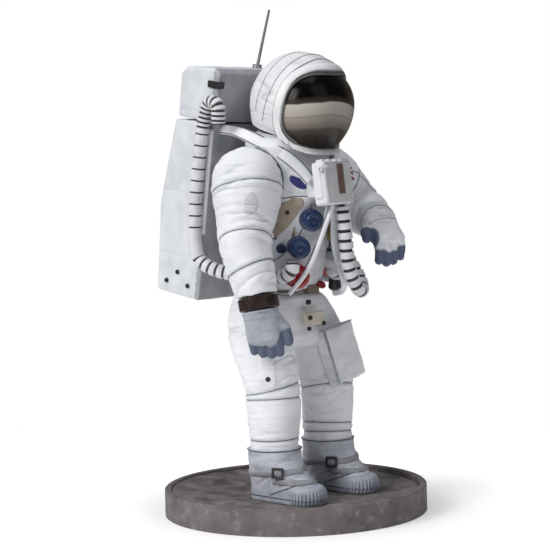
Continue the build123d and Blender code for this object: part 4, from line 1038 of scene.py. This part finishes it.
UNIT_BLOCKS = [  # size, place on the unit, bevel, material
    ((13.4, 15, 6.2), (0, -3.5, 0), 0.7, 0), ((13.8, 14.6, 0.8), (0, -0.35, 0), 0.3, 1),
    ((1.4, 11.5, 3.6), (-6.6, -3.6, 0.4), 0.5, 0), ((9, 8, 9), (0, -7.4, -0.4), 0.5, 0),
    ((3.2, 1.2, 1.4), (3.4, -0.6, 7.6), 0.3, 1)]
UNIT_BLOCKS += [((0.35, 13.2, 0.5), (x, -0.1, 0), 0.12, 1) for x in (-4.6, 4.9)]
UNIT_BLOCKS += [((1.9, 1.3, 3.0), (x, -3.3, 7.7), 0.3, 0) for x in (-5, -1.6, 1.8, 5)]
unit_parts = [(slab(size, on_unit(*spot), bevel), slot) for size, spot, bevel, slot in UNIT_BLOCKS]
unit_parts += [(stud(on_unit(x, 0, z)[:3, 3], UNIT_OUT, 0.6, 0.35, 0.4, 0.6, 0.2, 24), 1)
               for x, z in [(5.9, -5.0), (5.9, 5.2), (-5.9, 5.6)]]
knob = [(1.0, -0.2), (1.0, 0.5), (0.7, 0.7), (0.6, 0.3), (0.01, 0.3)]
unit_parts.append((turned(knob, on_unit(-7.1, -1.3, 4.8)[:3, 3], -ACROSS, 24), 1))
add_hard("control_unit_box", unit_parts, [HARD, HARD_GREY], "torso", "white_hard", "control_unit", width=0.12)
strip_parts = [(slab((3.2, 10.4, 0.4), on_unit(0.9, 0.15, 1.2), 0.1), 0)]
strip_parts += [(slab((2.3, 0.25, 0.12), on_unit(0.9, 0.38, 1.4 * step - 3.0), 0.03), 1) for step in range(7)]
place(piece("unit_strip", strip_parts, [LABEL, BELT], False), "torso", "label", "control_label")

# ---- straps and small cloth pieces
TETHER = [(-1.6, -23.9, 33.9), (-5.2, -23.8, 24.5), (-8.8, -22.4, 11.5), (-12.4, -17.2, 1.8)]
tether = tube(smooth_line(from_spine(TETHER), 120, 4), 0.8, 16)
add("tether_tube", [tether], HARD, "torso", "white_hard", "tether")

STRAP_THICKNESS = 0.8
STRAPS = [  # name, route in the spine frame, width, material, node that it stands for
    ("chest_strap_right", [(-1.4, -21.8, 34.4), (-3.0, -21.6, 24), (-5.2, -20.2, 12), (-6.4, -17.6, 4.2),
                           (-6.6, -14.6, 2.6)], 2.0, SUIT_GREY_AND_SHADE, ["chest_straps"]),
    ("chest_strap_left", [(1.8, -22.0, 34.4), (2.2, -22.2, 21), (7.6, -22.2, 11), (13.2, -21.4, 2.2),
                          (12.6, -15.6, 0.4)], 3.0, SUIT, [])]
strap_out = np.tile(spine_vector(-0.3, -1, 0.2), (80, 1))
for strap_name, route, width, material, nodes in STRAPS:
    line = smooth_line(from_spine(route), 80, 4)
    web = tube(line, width / 2, 12, False, STRAP_THICKNESS / width, strap_out)
    add(strap_name, [web], material, "torso", "suit_shade", *nodes)

HARNESS = [(14.9, 20.6, 54.8), (15.4, 12, 55.2), (15.8, 2, 53.4), (13.4, -8.5, 50.4), (9.0, -13.6, 45.6),
           (7.2, -17.4, 41.4)]
for side_name, side in SIDES.items():
    line = smooth_line(from_spine([(side * x, y, z) for x, y, z in HARNESS]), 90, 4)
    line = clear_of_shoulders(line, 13.0)
    chest_normals = np.array([torso_tree.find_nearest(Vector(point))[1] for point in line])
    near = np.clip((11 - to_spine(line)[:, 1:2]) / 5, 0, 1)
    out = chest_normals * near + spine_vector(side * 0.75, -0.2, 0.7) * (1.02 - near)
    for _ in range(8):
        out = np.vstack([out[:1], out[:-2] / 4 + out[1:-1] / 2 + out[2:] / 4, out[-1:]])
    out = unit_rows(out)
    add(f"harness_{side_name}", [tube(line, 2.3, 12, False, 0.2, out)], SUIT, "torso", "suit")
    sideways = np.cross(unit_rows(np.gradient(line, axis=0)), out)
    edges = [tube(line + sideways * shift + out * 0.3, 0.18, 6) for shift in (-2.0, 2.0)]
    add(f"harness_edges_{side_name}", edges, SEAM, "torso", "black")

BEFORE_CHEST = -30                        # y of outlines before they are laid on the chest


def chest_line(corners):
    return from_spine([(x, BEFORE_CHEST, z) for x, z in corners])


def disc(x, z, radius, first=0.0, last=2 * pi):
    angles = np.linspace(first, last, 48, endpoint=last - first < 6)
    return chest_line([(x + radius * cos(a), z + radius * sin(a)) for a in angles])


TAN_OUTLINE = [(-11.2, 35.0), (-6.6, 35.2), (-9.2, 29), (-11.7, 20.0), (-11.9, 15.0), (-11.8, 26)]
GUSSET_OUTLINE = [(-0.2, 24), (1.4, 24), (10.0, 6.0), (10.4, 2.0), (-5.4, 2.0), (-5.0, 6)]
CHEST = [  # name, outline seen from the front, thickness, material, slot
    ("round_patch_ground", disc(-7.2, 41.4, 3.5), 0.12, RIM_BAND, "suit"),
    ("round_patch_blue", disc(-7.2, 41.4, 3.3, pi * 0.86, pi * 1.90), 0.25, NAVY, "blue"),
    ("tan_panel", smooth_line(chest_line(TAN_OUTLINE), 64, 1, True), 0.3, TAN, "tan"),
    ("grey_gusset", smooth_line(chest_line(GUSSET_OUTLINE), 64, 1, True), 0.9, SUIT_GREY_AND_SHADE, "suit_shade"),
]
for patch_name, outline, thickness, material, slot in CHEST:
    place(patch(patch_name, torso_tree, outline, TO_BACK, thickness, material), "torso", slot)
YOKE_SEAMS = [[(-11.9, 34), (-9.0, 36.0), (-3.0, 35.6), (1.0, 35.4)],
              [(-13.6, 52.0), (-9.6, 50.0), (-6.1, 46.6)], [(-4.4, 33.6), (-10.8, 14.0), (-11.2, 8)]]
yoke_lines = [tube(projected(torso_tree, smooth_line(chest_line(line), 60), TO_BACK, 0.03)[0], 0.17, 8)
              for line in YOKE_SEAMS]
add("chest_seams", yoke_lines, SEAM, "torso", "black")
tan_snap = projected(torso_tree, chest_line([(-10.6, 29.6)]), TO_BACK)[0][0]
chest_snaps = [stud(tan_snap, -TO_BACK, 0.8, 0.5, 0.4, 0.7),
               stud(spine(14.6, -14.4, 17.6), spine_vector(0.2, -1, 0), 2.3, 0.6, 1.9, 1.0, 1, 32)]
add("chest_snaps", chest_snaps, BLACK, "torso", "black")
SOCKETS = [  # size, place and first axis in the spine frame, bevel, material
    ((4.0, 14.0, 4.6), (6.4, -19.2, 27.6), (1, 0, 0), 0.8, 0),
    ((4.6, 7.0, 3.6), (12.0, -16.8, 5.0), (1, 0, 0), 0.8, 0),
    ((3.0, 6.4, 1.6), (2.6, -20.4, 23.6), (1, 0.4, 0), 0.5, 1),
    ((2.2, 2.2, 1.8), (3.2, -20.6, 28.6), (1, 0.4, 0), 0.4, 2)]
socket_parts = [(slab(size, at(spine(*spot), first, SPINE_UP), bevel), slot)
                for size, spot, first, bevel, slot in SOCKETS]
add_hard("chest_sockets", socket_parts, [BLACK, BRASS, HARD_GREY], "torso", "black")
side_panel = slab((7.0, 6.0, 28.0), at(spine(8.6, -12.4, 12.6), ACROSS, SPINE_UP), 2.4)
add_hard("chest_side_panel", [side_panel], SUIT_GREY_AND_SHADE, "torso", "suit_shade", width=1.0, segments=3,
         smooth=True)

for stripe in range(5):                   # red and white in turn, across the left sleeve
    corners = [(-4.6, 2.4), (2.4, 0.4), (2.4, -0.6), (-4.6, 1.4)]
    box = [SHOULDER["left"] + (x, -20, z + stripe) for x, z in corners]
    material, slot = (RIM_BAND, "suit") if stripe % 2 else (PATCH_RED, "red")
    band = patch(f"sleeve_stripe_{stripe}", sleeve_trees["left"], even(box, 40), (0, 1, 0), 0.14, material, 6)
    place(band, "upper_arm_left", slot)
SLEEVE_PATCH = [(-9, -14.5, -5.5), (-9, -9.5, -2.0), (-9, -4.5, -6.5), (-9, -6, -11.0), (-9, -12.5, -10.5)]
outline = smooth_line(SLEEVE_PATCH + SHOULDER["right"], 60, 2, True)
sleeve_patch = patch("sleeve_patch", sleeve_trees["right"], outline, (0.6, 0.8, 0), 0.3, SUIT_PALE)
place(sleeve_patch, "upper_arm_right", "suit")

# ---- pocket, panels, straps on the legs
THIGH_LEAN = radians(12.5)
POCKET_OUT = np.array([0, -cos(THIGH_LEAN), sin(THIGH_LEAN)])
POCKET_UP = np.array([0, sin(THIGH_LEAN), cos(THIGH_LEAN)])
POCKET_AT = np.array([LEG_X - 0.6, -10.9, 56.0])
POCKET_ROLL = radians(9)                  # its outer side is the higher one
POCKET_ACROSS = ACROSS * cos(POCKET_ROLL) + POCKET_UP * sin(POCKET_ROLL)
POCKET_UP = POCKET_UP * cos(POCKET_ROLL) - ACROSS * sin(POCKET_ROLL)


def on_pocket(x, out, up):
    return at(POCKET_AT + POCKET_ACROSS * x + POCKET_OUT * out + POCKET_UP * up, POCKET_ACROSS, POCKET_UP)


pocket = fused("pocket_bag", [slab((16.0, 20.0, 5.4), on_pocket(0, 0.1, 0), 0.6)], SUIT, 0.4, 4)
points, normals = points_of(pocket), normals_of(pocket)
set_points(pocket, points + normals * (0.22 * noise_at(points, (5, 5, 4), 5.0))[:, None])
paint(pocket, "shade", np.clip(0.08 + 0.25 * noise_at(points, (7, 7, 3), 15.0), 0, 0.3))
place(pocket, "stand", "suit", "thigh_pocket_left")
edge_lines = [tube([on_pocket(*end)[:3, 3] for end in ends], radius, 10) for ends, radius in [
    ([(-7.9, 2.6, 9.8), (-7.9, 2.6, -9.8)], 0.5), ([(-7.8, 2.6, 9.9), (7.8, 2.6, 9.9)], 0.3)]]
add("pocket_edges", edge_lines, SEAM_SOFT, "stand", "strap")
hip_shape = slab((10.6, 4.6, 1.0), at((0, -10.7, 69.6), ACROSS, (0, 0.12, 1)), 0.3)
add_hard("hip_patch", [hip_shape], HIP_TAN, "stand", "tan", "hip_panel")
hip_snaps = [stud((x, -11.7, z), (0, -1, 0.1), 0.75, 0.3, 0.4, 0.5)
             for x, z in [(-2.6, 70.0), (-3.4, 66.2), (4.4, 67.6)]]
hip_snaps.append(stud((-1.4, -9.9, 75.4), (0, -1, 0.1), 0.9, 0.3, 0.5, 0.5, 0.8))
add("hip_snaps", hip_snaps, BLACK, "stand", "black")

TO_THIGH = np.array([0.62, 0.78, 0])
THIGH_SIDE = -LEG_X - 7.5
outline = [(THIGH_SIDE, y, z) for y, z in [(-12.0, 58.0), (-6.0, 60.5), (-3.0, 57.0), (-5.0, 49.5),
                                           (-10.5, 46.6), (-13.0, 48.0)]]
panel = patch("thigh_panel", leg_trees["right"], smooth_line(outline, 70, 2, True), TO_THIGH, 0.25, SUIT)
place(panel, "stand", "suit")
spot = projected(leg_trees["right"], [(THIGH_SIDE, -8.0, 50.2)], TO_THIGH)[0][0]
add("thigh_snap", [stud(spot, -TO_THIGH, 0.9, 0.5, 0.5, 0.8, around=24)], BLACK, "stand", "black")

# ---- boot straps and buckles
BUCKLE_BARS = [(0, 1.6, (4.2, 0.7, 0.7)), (0, -1.6, (4.2, 0.7, 0.7)), (1.8, 0, (0.7, 3.6, 0.7)),
               (-1.8, 0, (0.7, 3.6, 0.7))]                   # aside, up, size
BUCKLE_AT = 24                            # point of the upper strap that carries the buckle
webs, buckles = [], []
for side_name, side in SIDES.items():
    for reach, low, high in [(150, 16.0, 19.6), (60, 14.2, 14.2)]:
        line, out = [], []
        for share in np.linspace(0, 1, 70):
            turn = radians(reach) * (2 * share - 1)
            start = Vector((side * LEG_X, -4.5, low + (high - low) * share))
            hit, normal = boot_trees[side_name].ray_cast(start, Vector((sin(turn), -cos(turn), 0)))[:2]
            line.append(np.array(hit + normal * 0.15))
            out.append(np.array(normal))
        webs.append(tube(smooth_line(line, 70, 2), 1.15, 12, False, 0.32, out))
        if high > low:
            spot, spot_out = line[BUCKLE_AT], unit(out[BUCKLE_AT])
            spot_side = unit(np.cross((0, 0, 1), spot_out))
            spot_up = np.cross(spot_out, spot_side)
            for aside, up, size in BUCKLE_BARS:
                middle = spot + spot_side * aside + spot_up * up + spot_out * 0.55
                buckles.append(slab(size, at(middle, spot_side, spot_up), 0.15))
add("boot_strap_webs", webs, STRAP, "stand", "strap", "boot_straps")
place(piece("boot_buckles", buckles, BLACK, False), "stand", "black")

# ---- moon ground
GROUND_RADIUS = 44.4
GROUND_AROUND = 300
CRATERS = [(-30, 12, 7, 0.9), (22, 22, 9, 1.1), (28, -16, 6, 0.8), (-24, -22, 5, 0.7), (-4, 30, 6, 0.8),
           (2, -36, 4.5, 0.6), (37, 3, 4, 0.5), (-38, -8, 4, 0.5)]             # x, y, radius, depth
NOISES = [(0.16, 7, 3.0), (0.10, 2.4, 8.0), (0.05, 0.9, 1.0)]                  # height, size, seed
ring_radii = np.r_[0.05, np.linspace(0.6, GROUND_RADIUS, 110)]
radii, angles = np.meshgrid(ring_radii, circle(GROUND_AROUND), indexing="ij")
x, y, reach = (radii * np.cos(angles)).ravel(), (radii * np.sin(angles)).ravel(), radii.ravel()
grid = np.stack([x, y, np.full(len(x), GROUND_TOP)], 1)
lift = sum(height * noise_at(grid, (size, size, size), seed) for height, size, seed in NOISES)
for crater_x, crater_y, radius, depth in CRATERS:
    away = np.hypot(x - crater_x, y - crater_y) / radius
    crater = 0.55 * depth * np.exp(-((away - 1.05) / 0.22) ** 2) - depth * np.exp(-(away / 0.75) ** 4)
    lift += np.where(away < 1.6, crater, 0)
quiet = np.clip((GROUND_RADIUS + 0.4 - reach) / 2, 0, 1)
beyond_boots = np.maximum(np.abs(y + 8.9) - 9.5, 0)
boots_away = np.minimum(np.hypot(x - LEG_X, beyond_boots), np.hypot(x + LEG_X, beyond_boots))
quiet *= np.clip((boots_away - 6) / 2, 0, 1)
grid[:, 2] = np.minimum(grid[:, 2] + lift * quiet, GROUND_TOP + 0.75)
rise = np.clip((reach - 31) / 13, 0, 1) ** 1.4
grid[:, 2] += 2.3 * rise * (0.35 + 0.65 * np.clip(0.5 + 0.8 * np.cos(np.arctan2(y, x) - 2.6), 0, 1))
rings = list(grid.reshape(-1, GROUND_AROUND, 3))
rings.append(np.c_[rings[-1][:, :2], np.full(GROUND_AROUND, GROUND_TOP - 3)])
ground = modified(piece("moon_surface", [loft(rings)], DUST), "WELD", merge_threshold=0.001)
paint(ground, "shade", np.clip(0.4 - 0.6 * noise_at(points_of(ground), (5, 5, 5), 4.0), 0, 1))
place(ground, "stand", "rock", "moon_ground")

# ---- floor, light and camera
scene = bpy.context.scene
scene.view_settings.view_transform = "Standard"
world = bpy.data.worlds.new("studio")
scene.world = world
world.use_nodes = True
soft = world.node_tree.nodes["Background"]
fill(soft, {"Color": (0.93, 0.95, 1.0), "Strength": 0.17})
white = add_node(world.node_tree, "Background", {"Color": (1, 1, 1), "Strength": 1.0})
seen = add_node(world.node_tree, "LightPath").outputs["Is Camera Ray"]
choose = add_node(world.node_tree, "MixShader", {0: seen, 1: soft.outputs[0], 2: white.outputs[0]})
fill(world.node_tree.nodes["World Output"], {"Surface": choose.outputs[0]})

bpy.ops.mesh.primitive_circle_add(vertices=96, radius=0.20, fill_type="NGON")
floor = bpy.context.object
floor.name = "studio_floor"
paper, paper_tree, paper_shader, where = new_material("studio_paper")
away = add_node(paper_tree, "VectorMath", {0: where}, operation="LENGTH").outputs["Value"]
glow = add_node(paper_tree, "MapRange", {"From Min": 0.05, "From Max": 0.14, "To Min": 0.34, "To Max": 0.98,
                                         "Value": away})
fill(paper_shader, {"Base Color": (0.7, 0.7, 0.7), "Roughness": 0.9, "Emission Color": (1, 1, 1),
                    "Emission Strength": glow.outputs["Result"]})
floor.data.materials.append(paper)


def lamp(name, azimuth, elevation, distance, size, power, colour=(1, 1, 1)):
    """Square area light that faces the figure's middle."""
    data = bpy.data.lights.new(name, "AREA")
    data.size, data.energy, data.color = size, power, colour
    made = bpy.data.objects.new(name, data)
    a, e = radians(azimuth), radians(elevation)
    out = Vector((sin(a) * cos(e), -cos(a) * cos(e), sin(e)))
    made.location = Vector((0, 0, 0.085)) + out * distance
    made.rotation_euler = out.to_track_quat("Z", "Y").to_euler()
    scene.collection.objects.link(made)


lamp("key_light", -100, 30, 0.75, 0.34, 4.0, (1, 0.995, 0.98))
lamp("top_light", -60, 84, 0.9, 0.55, 2.6, (0.97, 0.98, 1))
lamp("fill_light", -12, 38, 0.9, 0.6, 1.1)

AZIMUTH, ELEVATION, ROLL = radians(-47), radians(3.86), radians(-1.55)
CAMERA_DISTANCE, AIM_HEIGHT, AIM_ASIDE, FOCAL = 0.650, 0.0848, -0.0054, 119.2
sideways = Vector((cos(AZIMUTH), sin(AZIMUTH), 0))
back = Vector((sin(AZIMUTH) * cos(ELEVATION), -cos(AZIMUTH) * cos(ELEVATION), sin(ELEVATION)))
level_up = back.cross(sideways).normalized()
right = sideways * cos(ROLL) + level_up * sin(ROLL)
up = back.cross(right)
camera_data = bpy.data.cameras.new("camera")
camera_data.lens, camera_data.sensor_width = FOCAL, 36
camera_data.clip_start = 0.05
camera = bpy.data.objects.new("camera", camera_data)
aim = Vector((0, 0, AIM_HEIGHT)) + sideways * AIM_ASIDE
turned_to = Matrix((right, up, back)).transposed().to_4x4()
camera.matrix_world = Matrix.Translation(aim + back * CAMERA_DISTANCE) @ turned_to
scene.collection.objects.link(camera)
scene.camera = camera
